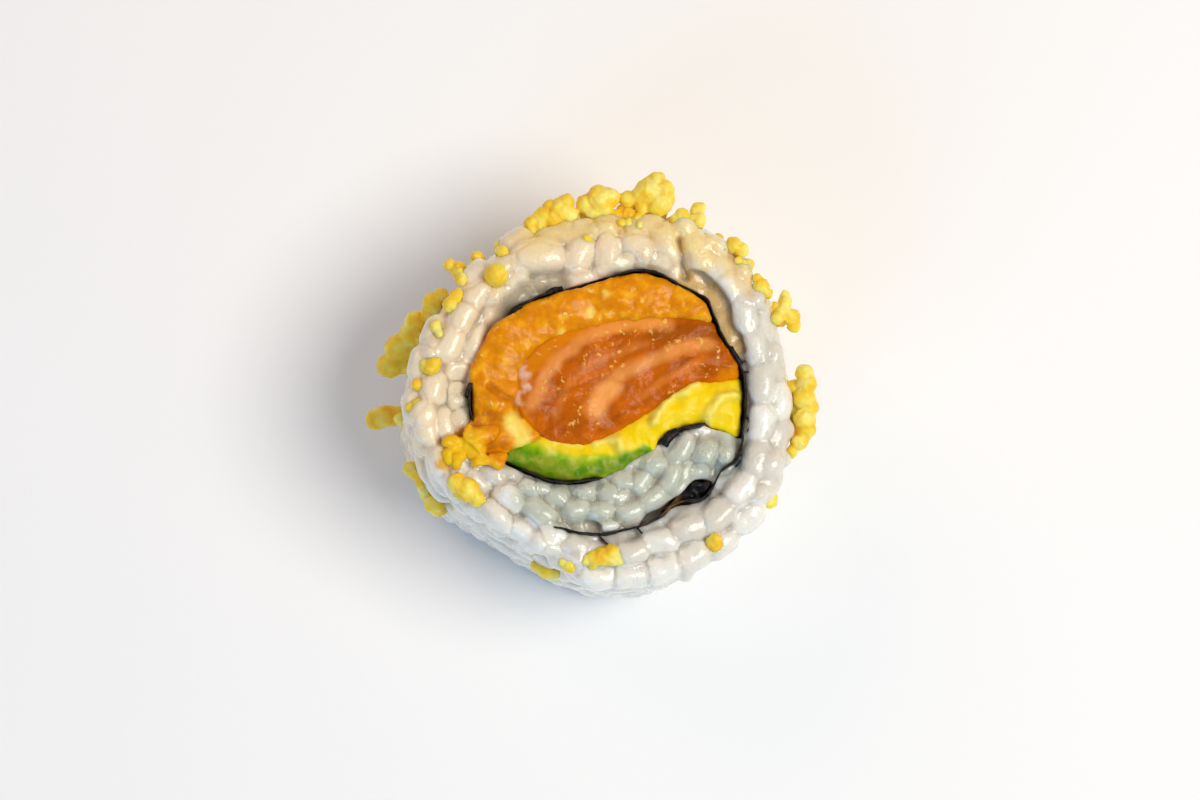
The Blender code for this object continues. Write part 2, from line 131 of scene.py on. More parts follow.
def joined(name, objects):
    """The objects as one, with its place in its mesh."""
    select_only(*objects)
    bpy.ops.object.join()
    bpy.ops.object.transform_apply(location=True, rotation=True, scale=True)
    objects[0].name = name
    return objects[0]


def smooth_line(points, steps, closed=False):
    """A Catmull-Rom line through the points, with this many steps to each span."""
    count = len(points)
    line = []
    for i in range(count if closed else count - 1):
        around = [i - 1, i, i + 1, i + 2]
        around = [k % count for k in around] if closed else [min(max(k, 0), count - 1) for k in around]
        a, b, c, d = (Vector(points[k]) for k in around)
        for step in range(steps):
            t = step / steps
            bend = (2 * a - 5 * b + 4 * c - d) * t**2 + (3 * b - a - 3 * c + d) * t**3
            line.append(0.5 * (2 * b + (c - a) * t + bend))
    return line if closed else [*line, Vector(points[-1])]


def drawn_wall(name, line, closed, bottom, top):
    """A line of the plan drawn as a curve and extruded upright, filled if it is closed."""
    curve = bpy.data.curves.new(name, "CURVE")
    curve.dimensions = "2D"
    curve.fill_mode = "BOTH" if closed else "NONE"
    curve.extrude = (top - bottom) / 2
    spline = curve.splines.new("POLY")
    spline.points.add(len(line) - 1)
    for place, point in zip(spline.points, line):
        place.co = (point[0], point[1], 0, 1)
    spline.use_cyclic_u = closed
    wall = bpy.data.objects.new(name, curve)
    wall.location.z = (top + bottom) / 2
    bpy.context.collection.objects.link(wall)
    select_only(wall)
    bpy.ops.object.convert(target="MESH")
    bpy.ops.object.transform_apply(location=True, rotation=True, scale=True)
    bpy.ops.object.mode_set(mode="EDIT")
    bpy.ops.mesh.select_all(action="SELECT")
    bpy.ops.mesh.remove_doubles(threshold=0.001)
    bpy.ops.mesh.normals_make_consistent(inside=False)
    bpy.ops.object.mode_set(mode="OBJECT")
    return wall


def standing_sheet(name, line, bottom, top, thickness):
    """A sheet of nori standing on a line of the plan, with rows of points up its height."""
    sheet = drawn_wall(name, line, False, bottom, top)
    add_rows(sheet, [height for height in NORI_ROWS if bottom < height < top])
    apply_modifier(sheet, "Thickness", "SOLIDIFY", thickness=thickness, offset=0.0)
    return sheet


def points_of(obj):
    points = np.empty(len(obj.data.vertices) * 3, np.float32)
    obj.data.vertices.foreach_get("co", points)
    return points.reshape(-1, 3).astype(float)


def normals_of(obj):
    normals = np.empty(len(obj.data.vertices) * 3, np.float32)
    obj.data.vertex_normals.foreach_get("vector", normals)
    return normals.reshape(-1, 3).astype(float)


def move_points(obj, points):
    obj.data.vertices.foreach_set("co", points.astype(np.float32).ravel())
    obj.data.update()


def lumps(points, size, seed=0.0):
    """Smooth noise from about -1 to 1 at each point, with lumps of this size."""
    shift = Vector((seed * 17.3, seed * 5.1, seed * 9.7))
    return np.array([noise.noise(Vector(point) / size + shift) for point in points])


def ramp(values, start, end):
    """Rises smoothly from 0 at start to 1 at end."""
    t = np.clip((values - start) / (end - start), 0, 1)
    return t * t * (3 - 2 * t)


def distances(points, line):
    """From each point to a line of the plan."""
    nearest = np.full(len(points), np.inf)
    for a, b in zip(line, line[1:]):
        a, b = np.array(a[:2]), np.array(b[:2])
        along = b - a
        t = np.clip((points[:, :2] - a) @ along / (along @ along), 0, 1)
        nearest = np.minimum(nearest, np.linalg.norm(points[:, :2] - a - t[:, None] * along, axis=1))
    return nearest


def near(points, line, full, none, uneven=0.0):
    """1 up to one distance from a line of the plan and 0 beyond the other."""
    return 1 - ramp(distances(points, line) + uneven, full, none)


def give_mask(obj, name, values):
    obj.data.attributes.new(name, "FLOAT", "POINT").data.foreach_set("value", values.astype(np.float32))


def to_frame(obj):
    """Moves a piece drawn in millimetres on the plan into the frame, with its place in its mesh."""
    shift = Matrix.Translation((plan_origin.x * MM, plan_origin.y * MM, 0))
    obj.data.transform(shift @ Matrix.Scale(MM, 4))


def linear(hex_colour):
    """An sRGB hex colour as the linear colour that a socket takes."""
    channels = [int(hex_colour[i : i + 2], 16) / 255 for i in (0, 2, 4)]
    return (*[c / 12.92 if c <= 0.04045 else ((c + 0.055) / 1.055) ** 2.4 for c in channels], 1.0)


def set_sockets(tree, node, values):
    """A link or a value for each named or numbered input of a node."""
    for key, value in values.items():
        if isinstance(value, bpy.types.NodeSocket):
            tree.links.new(value, node.inputs[key])
        else:
            node.inputs[key].default_value = value


def add_node(tree, kind, sockets=None, **settings):
    node = tree.nodes.new(kind)
    for key, value in settings.items():
        setattr(node, key, value)
    set_sockets(tree, node, sockets or {})
    return node


def new_material(name):
    """A material, its node tree, its shader and the piece's own coordinates."""
    material = bpy.data.materials.new(name)
    material.use_nodes = True
    tree = material.node_tree
    place = add_node(tree, "ShaderNodeTexCoord").outputs["Object"]
    return material, tree, tree.nodes["Principled BSDF"], place


def mask_of(tree, name):
    return add_node(tree, "ShaderNodeAttribute", attribute_name=name).outputs["Fac"]


def clouds(tree, place, lumps_per_mm, detail):
    sockets = {"Vector": place, "Scale": lumps_per_mm * PER_MM, "Detail": detail}
    return add_node(tree, "ShaderNodeTexNoise", sockets).outputs["Fac"]


def mapped(tree, value, start, end, to_start=0.0, to_end=1.0):
    sockets = {0: value, 1: start, 2: end, 3: to_start, 4: to_end}
    return add_node(tree, "ShaderNodeMapRange", sockets).outputs[0]


def calculated(tree, operation, a, b):
    return add_node(tree, "ShaderNodeMath", {0: a, 1: b}, operation=operation).outputs[0]


def mixed(tree, share, colour, hex_colour):
    """A colour turned by a share from 0 to 1 into another."""
    sockets = {0: share, 6: colour, 7: linear(hex_colour)}
    return add_node(tree, "ShaderNodeMix", sockets, data_type="RGBA").outputs[2]


def painted(tree, colour, **layers):
    """A colour with others laid over it in turn, each by the mask of its name."""
    for name, hex_colour in layers.items():
        colour = mixed(tree, mask_of(tree, name), colour, hex_colour)
    return colour


def graded(tree, share, *stops):
    """A colour that runs through the stops, each a position and a hex colour."""
    node = add_node(tree, "ShaderNodeValToRGB", {"Fac": share})
    elements = node.color_ramp.elements
    elements[0].position, elements[1].position = stops[0][0], stops[-1][0]
    elements[0].color, elements[1].color = linear(stops[0][1]), linear(stops[-1][1])
    for position, hex_colour in stops[1:-1]:
        elements.new(position).color = linear(hex_colour)
    return node.outputs["Color"]


def set_surface(tree, shader, colour, height, bump, depth, roughness, specular=0.5, glow=None):
    """The colour, bump, shine and inner glow of a material, lengths in millimetres."""
    sockets = {"Height": height, "Strength": bump, "Distance": depth * MM}
    normal = add_node(tree, "ShaderNodeBump", sockets).outputs["Normal"]
    surface = {"Base Color": colour, "Normal": normal, "Roughness": roughness, "Specular IOR Level": specular}
    if glow:
        weight, radius, scale = glow
        surface |= {"Subsurface Weight": weight, "Subsurface Radius": radius, "Subsurface Scale": scale * MM}
    set_sockets(tree, shader, surface)


def finish_piece(piece, material, node=None):
    """Gives a piece its material, smooth shading and place in the frame's records."""
    to_frame(piece)
    piece.data.materials.clear()
    piece.data.materials.append(material)
    select_only(piece)
    bpy.ops.object.shade_smooth()
    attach(piece, "root")
    if node:
        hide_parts(node)


nori_route = smooth_line(NORI_ROUTE, ROUTE_STEPS)
outer_half = range(len(nori_route) // 2, len(nori_route))
loop_end = min(outer_half, key=lambda i: (nori_route[i] - LOOP_END).length)
nori_loop = nori_route[: loop_end + 1]

nori_sheets = [standing_sheet("nori_sheet", nori_route, 0, NORI_TOP, NORI_THICKNESS)]
for i, tatter in enumerate(TATTERS):
    top = NORI_TOP - 0.4 - 0.1 * (i % 3)
    nori_sheets.append(standing_sheet(f"tatter_{i}", smooth_line(tatter, 4), PLY_FOOT, top, TATTER_THICKNESS))
for i, (ply, thickness) in enumerate(PLIES):
    nori_sheets.append(standing_sheet(f"ply_{i}", smooth_line(ply, 4), PLY_FOOT, NORI_TOP, thickness))
nori = joined("nori_sheet", nori_sheets)

crumple = drawn_wall("crumple", [Vector(p) for p in POCKET_OUTLINE], True, CRUMPLE_FOOT, CRUMPLE_TOP)
remesh(crumple, CRUMPLE_VOXEL)
soften(crumple, 2)
points = points_of(crumple)
points[:, 2] += (points[:, 2] > 19) * (0.9 * lumps(points, 1.2, 3) + 0.5 * lumps(points, 0.6, 4))
move_points(crumple, points)
nori = joined("nori_sheet", [nori, crumple])

points = points_of(nori)
shake = 0.2 + 0.8 * ramp(points[:, 2], 17, 22.5)
for axis in (0, 1):
    points[:, axis] += shake * (0.26 * lumps(points, 1.9, 5 + axis) + 0.1 * lumps(points, 0.7, 7 + axis))
ragged = ramp(points[:, 2], 22.4, 23.4)
flat = points * (1, 1, 0)
points[:, 2] += ragged * (0.28 * lumps(flat, 1.6, 9) + 0.16 * lumps(flat, 0.55, 10) - 0.1)
for line, depth in SUNK:
    points[:, 2] -= depth * ramp(points[:, 2], 16, 22.5) * near(points, line, 0.7, 1.6)
points[:, 2] = np.maximum(points[:, 2], 0)
move_points(nori, points)

film = near(points, BROWN_FILM, 0.4, 0.9, 0.3 * lumps(points, 0.8, 18))
give_mask(nori, "film", film * ramp(points[:, 2], 19.0, 20.5))

# Pressed seaweed: near black with a purple brown cast, and dull but for a damp sheen on its folds.
pressed_seaweed, tree, shader, place = new_material("pressed_seaweed")
tint = graded(tree, clouds(tree, place, 0.9, 3.0), (0.38, "040506"), (0.52, "08090C"), (0.66, "2A1C1A"))
colour = painted(tree, tint, film="6A4A20")
set_surface(tree, shader, colour, clouds(tree, place, 3.5, 4.0), 0.6, 0.15, roughness=0.4, specular=0.3)
finish_piece(nori, pressed_seaweed, "nori")


# Rice, cooked short grain seasoned with vinegar: swollen, translucent, sticky grains pressed
# against the mat, so that they fuse where they touch and the back of each still shows. It lies
# outside the nori's coil and between the coil and its last turn, and the knife has smeared it.
GRAIN_LENGTH, GRAIN_WIDTH, GRAIN_THICK = 5.9, 3.3, 2.9
MEAN_RADIUS = 19.65
OUTLINE_WAVES = ((1, 1.44, 31), (2, 0.47, 3), (3, 0.96, 58), (5, 0.36, -15))  # order, mm, degrees
BARREL, EDGE_ROUND = 0.5, 0.8
CORE_TOP, CORE_INSET = 22.2, 0.75
SHOWN_GRAINS = (  # x, y, height of its top, length, width, degrees turned
    (-6.5, 15.5, 24.0, 6.3, 4.0, 5), (-8.4, 13.4, 23.0, 2.2, 2.0, 0), (-7.5, 12.3, 22.4, 2.2, 1.9, 0),
    (-6.0, 12.9, 22.6, 1.9, 1.8, 30), (-4.7, 13.2, 22.7, 2.2, 1.8, 0), (-2.0, 15.9, 23.8, 5.0, 3.4, 65),
    (-1.5, 18.4, 22.7, 4.0, 3.0, 10), (-2.0, 13.4, 22.7, 3.4, 2.2, 15), (0.5, 14.3, 23.0, 2.0, 1.4, 20),
    (1.1, 16.3, 23.7, 4.8, 3.4, 85), (4.3, 16.6, 23.9, 5.0, 3.6, -45), (2.6, 15.2, 23.2, 3.2, 2.2, 15),
    (4.6, 18.9, 23.2, 5.0, 3.4, 10), (7.3, 17.0, 23.9, 5.2, 3.4, -72), (6.6, 15.3, 23.3, 3.2, 2.2, -20),
    (1.4, 19.0, 22.8, 4.0, 3.0, -5), (-4.5, 18.0, 22.7, 4.5, 3.0, 20), (-8.6, 17.2, 22.6, 4.2, 3.0, 30),
    (10.8, 15.9, 24.0, 6.0, 3.6, -65), (12.6, 14.6, 23.8, 5.5, 3.6, -50), (14.0, 12.6, 24.0, 5.5, 3.2, -55),
    (15.6, 12.0, 23.4, 5.5, 3.5, -60), (15.6, 9.4, 24.0, 5.5, 3.2, -80), (17.6, 8.4, 23.3, 5.2, 3.4, -75),
    (16.8, 6.0, 23.9, 5.0, 3.0, -80), (18.6, 4.4, 23.3, 5.0, 3.4, -85), (17.6, 2.2, 23.9, 5.6, 3.2, 88),
    (19.3, 0.3, 23.2, 5.0, 3.2, 90), (17.5, -2.0, 23.9, 5.2, 3.2, 85), (19.0, -3.8, 23.2, 5.0, 3.2, 75),
    (17.0, -6.0, 23.9, 5.0, 3.2, 75), (18.0, -8.2, 23.2, 5.0, 3.3, 65), (15.4, -9.3, 23.8, 5.0, 3.4, 50),
    (16.0, -12.0, 23.1, 5.0, 3.3, 45), (12.7, -12.1, 23.8, 5.2, 3.4, 40), (13.2, -14.9, 23.0, 4.5, 3.2, 40),
    (9.7, -13.4, 23.7, 4.8, 3.3, 20), (10.2, -16.4, 23.3, 5.0, 3.3, 30), (6.6, -14.9, 23.7, 4.6, 3.2, 10),
    (6.8, -17.6, 23.3, 5.0, 3.3, 15), (3.5, -16.0, 23.8, 4.5, 3.2, 10), (3.5, -18.4, 23.1, 5.0, 3.2, 5),
    (0.4, -16.2, 23.4, 4.2, 3.0, -5), (0.0, -18.5, 22.9, 4.6, 3.0, -5), (-2.4, -15.6, 23.6, 4.0, 2.8, -20),
    (-3.3, -17.0, 22.8, 4.0, 2.6, -20), (-5.0, -14.0, 23.5, 3.6, 2.6, -35), (-6.3, -11.9, 23.8, 4.2, 3.0, -35),
    (-7.6, -13.9, 22.9, 3.8, 2.6, -40), (-7.4, -9.3, 23.7, 2.9, 1.9, -30), (-9.5, -10.3, 24.0, 3.8, 2.8, -35),
    (-10.8, -12.2, 22.9, 3.8, 2.6, -45), (-11.2, -7.9, 23.5, 3.4, 2.4, -40), (-13.0, -8.6, 23.4, 3.4, 2.6, -45),
    (-13.4, -6.6, 23.3, 3.0, 2.2, -30), (-15.1, -6.3, 23.8, 4.4, 3.0, -62), (-17.0, -5.7, 23.0, 4.4, 2.8, -70),
    (-18.2, -2.6, 23.6, 5.0, 3.0, -84), (-16.4, -2.6, 23.4, 3.6, 2.4, -75), (-17.6, 1.2, 24.0, 3.8, 2.8, 80),
    (-15.2, 0.6, 23.3, 3.2, 2.0, 85), (-14.9, -2.4, 23.0, 3.0, 2.0, 80), (-15.2, 3.2, 23.1, 2.6, 2.3, 0),
    (-13.1, 6.3, 22.9, 4.9, 2.1, 59), (-15.8, 6.0, 24.0, 4.6, 2.8, 65), (-14.5, 8.8, 24.0, 4.6, 2.8, 60),
    (-13.0, 11.2, 23.7, 4.2, 2.8, 50), (-11.0, 11.0, 23.5, 3.0, 2.8, 0), (-10.6, 14.3, 23.3, 4.6, 3.2, 30),
    (-13.2, 13.6, 22.8, 3.8, 2.8, 42), (-17.4, 7.4, 22.8, 4.4, 2.8, 65), (-19.0, 4.0, 22.9, 4.2, 2.6, 75),
    (-19.5, -0.6, 22.9, 4.4, 2.8, 88),
)  # fmt: skip
STRIP_GRAINS = (
    (8.8, -5.0, 23.4, 4.2, 2.5, 55), (11.5, -5.3, 23.6, 3.3, 2.7, 70), (13.7, -5.4, 23.3, 3.0, 2.1, 80),
    (6.0, -6.7, 23.4, 3.0, 2.6, 20), (7.7, -8.0, 23.5, 3.8, 2.3, 68), (9.4, -7.5, 22.9, 2.6, 1.2, 75),
    (10.8, -7.2, 22.7, 2.2, 1.5, 20), (4.6, -8.6, 23.2, 2.9, 2.3, 60), (2.7, -8.6, 23.1, 2.8, 2.3, 0),
    (3.3, -11.6, 23.4, 3.2, 2.5, 10), (5.9, -10.3, 23.3, 3.6, 2.5, 30), (1.3, -9.9, 23.2, 2.8, 2.3, -20),
    (0.4, -11.7, 23.4, 3.0, 2.2, 0), (-2.5, -11.4, 23.6, 2.9, 2.6, 0), (0.7, -13.3, 23.5, 3.4, 1.3, 5),
    (-1.5, -9.6, 23.1, 2.6, 2.1, 10), (-4.4, -10.3, 23.3, 3.0, 2.3, -10), (-6.0, -9.4, 23.2, 2.2, 1.8, -20),
    (-9.2, -8.0, 23.0, 2.4, 1.9, -20), (2.4, -10.2, 22.9, 2.4, 2.0, 40),
)  # fmt: skip
TOP_DRAWS, TOP_SPACING = 6000, 1.7
SIDE_DRAWS, SIDE_SPACING = 14000, 2.6
RICE_VOXEL = 0.2
SLOT_WIDTH, CLEAR = 0.27, 3.0  # the nori's slot, and how far the cutters reach past the rice
POCKET_DEPTH, TURN_GAP_DEPTH, END_GAP_DEPTH = 7.0, 3.6, 2.0
CREASE_DEPTH = 0.19
RICE_TRIANGLES = 180000
KNIFE_HEIGHT = 23.8
INNER_STRIP = ((13.4, -5.4), (9, -6.6), (5, -9.2), (0, -11.2), (-4.5, -11.2), (-6.5, -10.4))
JUICE_SMEAR = ((-10.6, -4.0), (-12.2, -4.5), (-14.6, -4.3), (-15.8, -5.4), (-16.3, -6.6))
CRUMB_DUST = ((-7.5, 17.5), (-4, 18.6), (0, 19.2), (4, 19.4), (8, 18.6), (12, 16.3), (15.5, 13.5))
WARM_SIDE = ((9.0, 16.5), (3.0, 17.0), (-4.0, 16.0), (-9.0, 14.0), (-14.0, 9.0), (-17.0, 3.0), (-17.0, -4.0))
WET_SPOTS = (  # x, y, radius
    (5.2, 15.7, 1.2), (-15.1, 0.4, 1.3), (-14.7, -2.9, 1.4), (-12.9, 5.2, 1.1), (-11.0, 10.6, 1.1),
    (11.5, -5.4, 1.4), (13.7, -5.6, 1.3), (-2.2, -9.3, 1.5), (5.9, -6.4, 1.1), (-3.2, -13.4, 1.3),
    (-9.3, -9.6, 1.5), (4.6, -18.2, 1.6), (-7.6, 12.3, 0.9), (0.7, -13.3, 1.2), (12.8, -9.9, 1.0),
)  # fmt: skip
CLEFT = ((9.6, 13.8), (9.2, 15.2), (8.7, 17.4))
LEDGE_HEIGHT = 22.2
LEDGE = (
    (8.9, 13.2), (9.7, 14.4), (11.2, 14.1), (12.4, 13.2), (13.5, 11.9), (14.2, 10.8), (14.4, 8.9),
    (14.8, 8.0), (15.5, 7.1), (15.8, 5.4), (14.6, 5.2), (13.0, 7.6), (11.8, 10.4), (9.6, 12.1),
)  # fmt: skip
LEDGE_MIDDLE = ((9.7, 13.0), (12.2, 11.6), (13.4, 9.0), (14.7, 6.4))
GAP_BY_TURN = (
    (4.4, -12.9), (5.3, -11.9), (6.6, -11.3), (7.9, -10.2), (9.0, -9.8), (8.4, -10.9), (6.3, -12.4),
    (4.8, -13.2),
)  # fmt: skip
GAP_BY_END = ((-1.6, -12.6), (-0.7, -12.7), (0.1, -13.0), (0.3, -13.9), (-0.6, -14.1), (-1.5, -13.9))
RECESSES = (  # where the rice lies lower: along a line, and how deep
    (CLEFT, 0.9, 0.7),
    (((-11.0, 7.0), (-9.2, 10.2), (-6.6, 11.9), (-4.8, 12.6)), 0.9, 2.3),
    (((-14.6, 2.6), (-14.9, 1.0)), 0.6, 1.3),
)


def outline_radius(angle):
    radius = MEAN_RADIUS
    for order, depth, turn in OUTLINE_WAVES:
        radius += depth * math.cos(order * (angle - math.radians(turn)))
    return radius


def side_radius(angle, height):
    across = 2 * height / HEIGHT - 1
    return outline_radius(angle) + BARREL * (1 - across**2) - EDGE_ROUND * abs(across) ** 8


def polar(angle, radius):
    return radius * math.cos(angle), radius * math.sin(angle)


def distance_to(line, point):
    """From a point to an open line on the plan."""
    nearest = math.inf
    for a, b in zip(line, line[1:]):
        along = b - a
        t = min(max((point - a).dot(along) / along.length_squared, 0), 1)
        nearest = min(nearest, (point - a - t * along).length)
    return nearest


def inside(line, point):
    crossed = False
    for a, b in zip(line, [*line[1:], line[0]]):
        if (a.y > point.y) != (b.y > point.y) and point.x < a.x + (b.x - a.x) * (point.y - a.y) / (b.y - a.y):
            crossed = not crossed
    return crossed


def grain_pattern(points):
    """For each point the shown grain that it lies on, and 1 where two grains meet."""
    grains = np.array((*SHOWN_GRAINS, *STRIP_GRAINS))
    bent = points[:, :2] + 0.35 * np.stack([lumps(points, 1.6, 15), lumps(points, 1.6, 16)], axis=1)
    across = bent[:, None] - grains[None, :, :2]
    turns = np.radians(grains[:, 5])
    along = (across[..., 0] * np.cos(turns) + across[..., 1] * np.sin(turns)) * 2 / grains[:, 3]
    aside = (across[..., 1] * np.cos(turns) - across[..., 0] * np.sin(turns)) * 2 / grains[:, 4]
    away = np.sqrt(along**2 + aside**2)
    nearest = away.argmin(axis=1)
    two = np.partition(away, 1, axis=1)[:, :2]
    return nearest, 1 - ramp(two[:, 1] - two[:, 0], 0.0, 0.26)


def model_grain(name, bend):
    """One grain, lying along X: blunt at the ends and bent like a bean."""
    bpy.ops.object.select_all(action="DESELECT")
    bpy.ops.mesh.primitive_uv_sphere_add(segments=14, ring_count=10, radius=1)
    grain = bpy.context.active_object
    grain.name = name
    bpy.ops.object.mode_set(mode="EDIT")
    bpy.ops.transform.rotate(value=math.pi / 2, orient_axis="Y", center_override=(0, 0, 0))
    bpy.ops.transform.resize(value=(GRAIN_LENGTH / 2, GRAIN_WIDTH / 2, GRAIN_THICK / 2))
    bpy.ops.object.mode_set(mode="OBJECT")
    for vert in grain.data.vertices:
        along = min(abs(vert.co.x) * 2 / GRAIN_LENGTH, 0.999)
        blunt = math.sqrt((1 - along**3) / (1 - along**2))
        vert.co.y = vert.co.y * blunt + bend * (along**2 - 0.3)
        vert.co.z *= blunt
        vert.co *= 1 + 0.1 * noise.noise(vert.co * 0.5 + Vector((bend * 40, 0, 0)))
    return grain


rice_draws = random.Random(7)
grain_models = [model_grain(f"grain_model_{i}", bend) for i, bend in enumerate((0.0, 0.35, -0.5, 0.7))]


def lay_grain(place, outwards, turn, size):
    """A copy of one of the grains, of this length, width and thickness, lying on a surface."""
    model = rice_draws.choice(grain_models)
    grain = model.copy()
    grain.data = model.data.copy()
    bpy.context.collection.objects.link(grain)
    stand = Vector((0, 0, 1)).rotation_difference(Vector(outwards)).to_matrix().to_4x4()
    stretch = Matrix.Diagonal((size[0] / GRAIN_LENGTH, size[1] / GRAIN_WIDTH, size[2] / GRAIN_THICK, 1))
    grain.matrix_world = Matrix.Translation(place) @ stand @ Matrix.Rotation(turn, 4, "Z") @ stretch
    return grain


def drawn_size():
    return [side * rice_draws.uniform(0.8, 1.05) for side in (GRAIN_LENGTH, GRAIN_WIDTH, GRAIN_THICK)]


def spread(draw, candidates, spacing, taken=()):
    """Takes drawn points in turn, leaving out each that is too near one already taken."""
    new = []
    for _ in range(candidates):
        point = draw()
        if point is not None and all((point - other).length > spacing for other in (*taken, *new)):
            new.append(point)
    return new


coarse_route = smooth_line(NORI_ROUTE, 2)
coarse_loop = coarse_route[: 2 * loop_end // ROUTE_STEPS + 1]


def draw_on_top():
    angle, share = rice_draws.uniform(-math.pi, math.pi), math.sqrt(rice_draws.random())
    point = Vector(polar(angle, share * (outline_radius(angle) - 0.9)))
    return None if inside(coarse_loop, point) or distance_to(coarse_route, point) < 0.9 else point


def draw_on_side():
    angle, height = rice_draws.uniform(-math.pi, math.pi), rice_draws.uniform(1.4, HEIGHT - 2.2)
    return Vector((*polar(angle, side_radius(angle, height)), height))


bpy.ops.object.select_all(action="DESELECT")
bpy.ops.mesh.primitive_cylinder_add(vertices=180, radius=1, depth=CORE_TOP, location=(0, 0, CORE_TOP / 2))
rice_core = bpy.context.active_object
bpy.ops.object.transform_apply(location=True, rotation=True, scale=True)
add_rows(rice_core, [share * CORE_TOP for share in (0.03, 0.12, 0.5, 0.88, 0.97)])
for vert in rice_core.data.vertices:
    angle = math.atan2(vert.co.y, vert.co.x)
    vert.co.x, vert.co.y = polar(angle, side_radius(angle, vert.co.z) - CORE_INSET)

grains = []
for x, y, top, length, width, turn in (*SHOWN_GRAINS, *STRIP_GRAINS):
    thick = min(width, GRAIN_THICK)
    grains.append(lay_grain((x, y, top - thick / 2), (0, 0, 1), math.radians(turn), (length, width, thick)))
shown = [Vector(grain[:2]) for grain in (*SHOWN_GRAINS, *STRIP_GRAINS)]
for point in spread(draw_on_top, TOP_DRAWS, TOP_SPACING, shown):
    lean = Vector((rice_draws.uniform(-0.3, 0.3), rice_draws.uniform(-0.3, 0.3), 1)).normalized()
    middle = (point.x, point.y, 21.7 - 0.4 * rice_draws.random())
    turn = rice_draws.uniform(0, math.pi)
    grains.append(lay_grain(middle, lean, turn, [0.8 * side for side in drawn_size()]))
for point in spread(draw_on_side, SIDE_DRAWS, SIDE_SPACING):
    outwards = Vector((point.x, point.y, 0)).normalized()
    middle = point - outwards * GRAIN_THICK * rice_draws.uniform(0.3, 0.44)
    length, width, thick = drawn_size()
    turn = rice_draws.uniform(0, math.pi)
    grains.append(lay_grain(middle, outwards, turn, (0.9 * length, 1.15 * width, thick)))

rice = joined("rice_mass", [rice_core, *grains])
remesh(rice, RICE_VOXEL)

square = [Vector(corner) for corner in ((-40, -40), (40, -40), (40, 40), (-40, 40))]
slot = drawn_wall("nori_slot", nori_route, False, -CLEAR, HEIGHT + CLEAR)
apply_modifier(slot, "Width", "SOLIDIFY", thickness=SLOT_WIDTH, offset=0.0)
cutters = [
    slot,
    drawn_wall("filling_hole", nori_loop, True, -CLEAR, HEIGHT + CLEAR),
]
for name, line, bottom in (
    ("ledge", LEDGE, LEDGE_HEIGHT),
    ("pocket", POCKET_OUTLINE, HEIGHT - POCKET_DEPTH),
    ("gap_by_turn", GAP_BY_TURN, HEIGHT - TURN_GAP_DEPTH),
    ("gap_by_end", GAP_BY_END, HEIGHT - END_GAP_DEPTH),
):
    cutters.append(drawn_wall(name, smooth_line(line, 3, True), True, bottom, HEIGHT + CLEAR))
cutters.append(drawn_wall("below", square, True, -9, 0))
for cutter in cutters:
    apply_modifier(rice, "Cut", "BOOLEAN", operation="DIFFERENCE", solver="MANIFOLD", object=cutter)
    bpy.data.objects.remove(cutter)
remesh(rice, RICE_VOXEL)
soften(rice, 3)

points, normals = points_of(rice), normals_of(rice)
points += normals * (0.1 * lumps(points, 1.5, 11) + 0.045 * lumps(points, 0.7, 12))[:, None]
nearest, crease = grain_pattern(points)
deep_here = CREASE_DEPTH * np.clip(0.6 + 1.3 * lumps(points, 2.6, 14), 0, 1.4)
deep_here *= 1 - 0.6 * ramp(points[:, 0], 11, 15)
points[:, 2] -= deep_here * crease * ramp(points[:, 2], 20.5, 22)
uneven = 0.3 * lumps(points, 1.5, 17)
for line, depth, reach in RECESSES:
    points[:, 2] -= depth * ramp(points[:, 2], 20, 22) * near(points, line, 0.15 * reach, reach, uneven)
above = points[:, 2] - KNIFE_HEIGHT
points[:, 2] = np.where(above > 0, KNIFE_HEIGHT + above * 0.5, np.maximum(points[:, 2], 0))
move_points(rice, points)
share_kept = RICE_TRIANGLES / (2 * len(rice.data.polygons))  # the remesh has quads only
apply_modifier(rice, "Fewer faces", "DECIMATE", ratio=min(1.0, share_kept))


def hollows(obj, rounds):
    """How far each point lies below its surroundings, in millimetres."""
    points, normals = points_of(obj), normals_of(obj)
    edges = np.empty(len(obj.data.edges) * 2, np.int32)
    obj.data.edges.foreach_get("vertices", edges)
    ends = np.concatenate([edges[0::2], edges[1::2]])
    others = np.concatenate([edges[1::2], edges[0::2]])
    count = np.maximum(np.bincount(ends, minlength=len(points)), 1)
    smoothed = points.copy()
    for _ in range(rounds):
        for axis in range(3):
            total = np.bincount(ends, weights=smoothed[others, axis], minlength=len(points))
            smoothed[:, axis] = total / count
    return ((smoothed - points) * normals).sum(axis=1)


def near_spots(points, spots, uneven):
    """1 at the middle of each round spot and 0 outside it."""
    mask = np.zeros(len(points))
    for x, y, radius in spots:
        away = np.linalg.norm(points[:, :2] - (x, y), axis=1) + uneven
        mask = np.maximum(mask, 1 - ramp(away, 0.4 * radius, 1.2 * radius))
    return mask


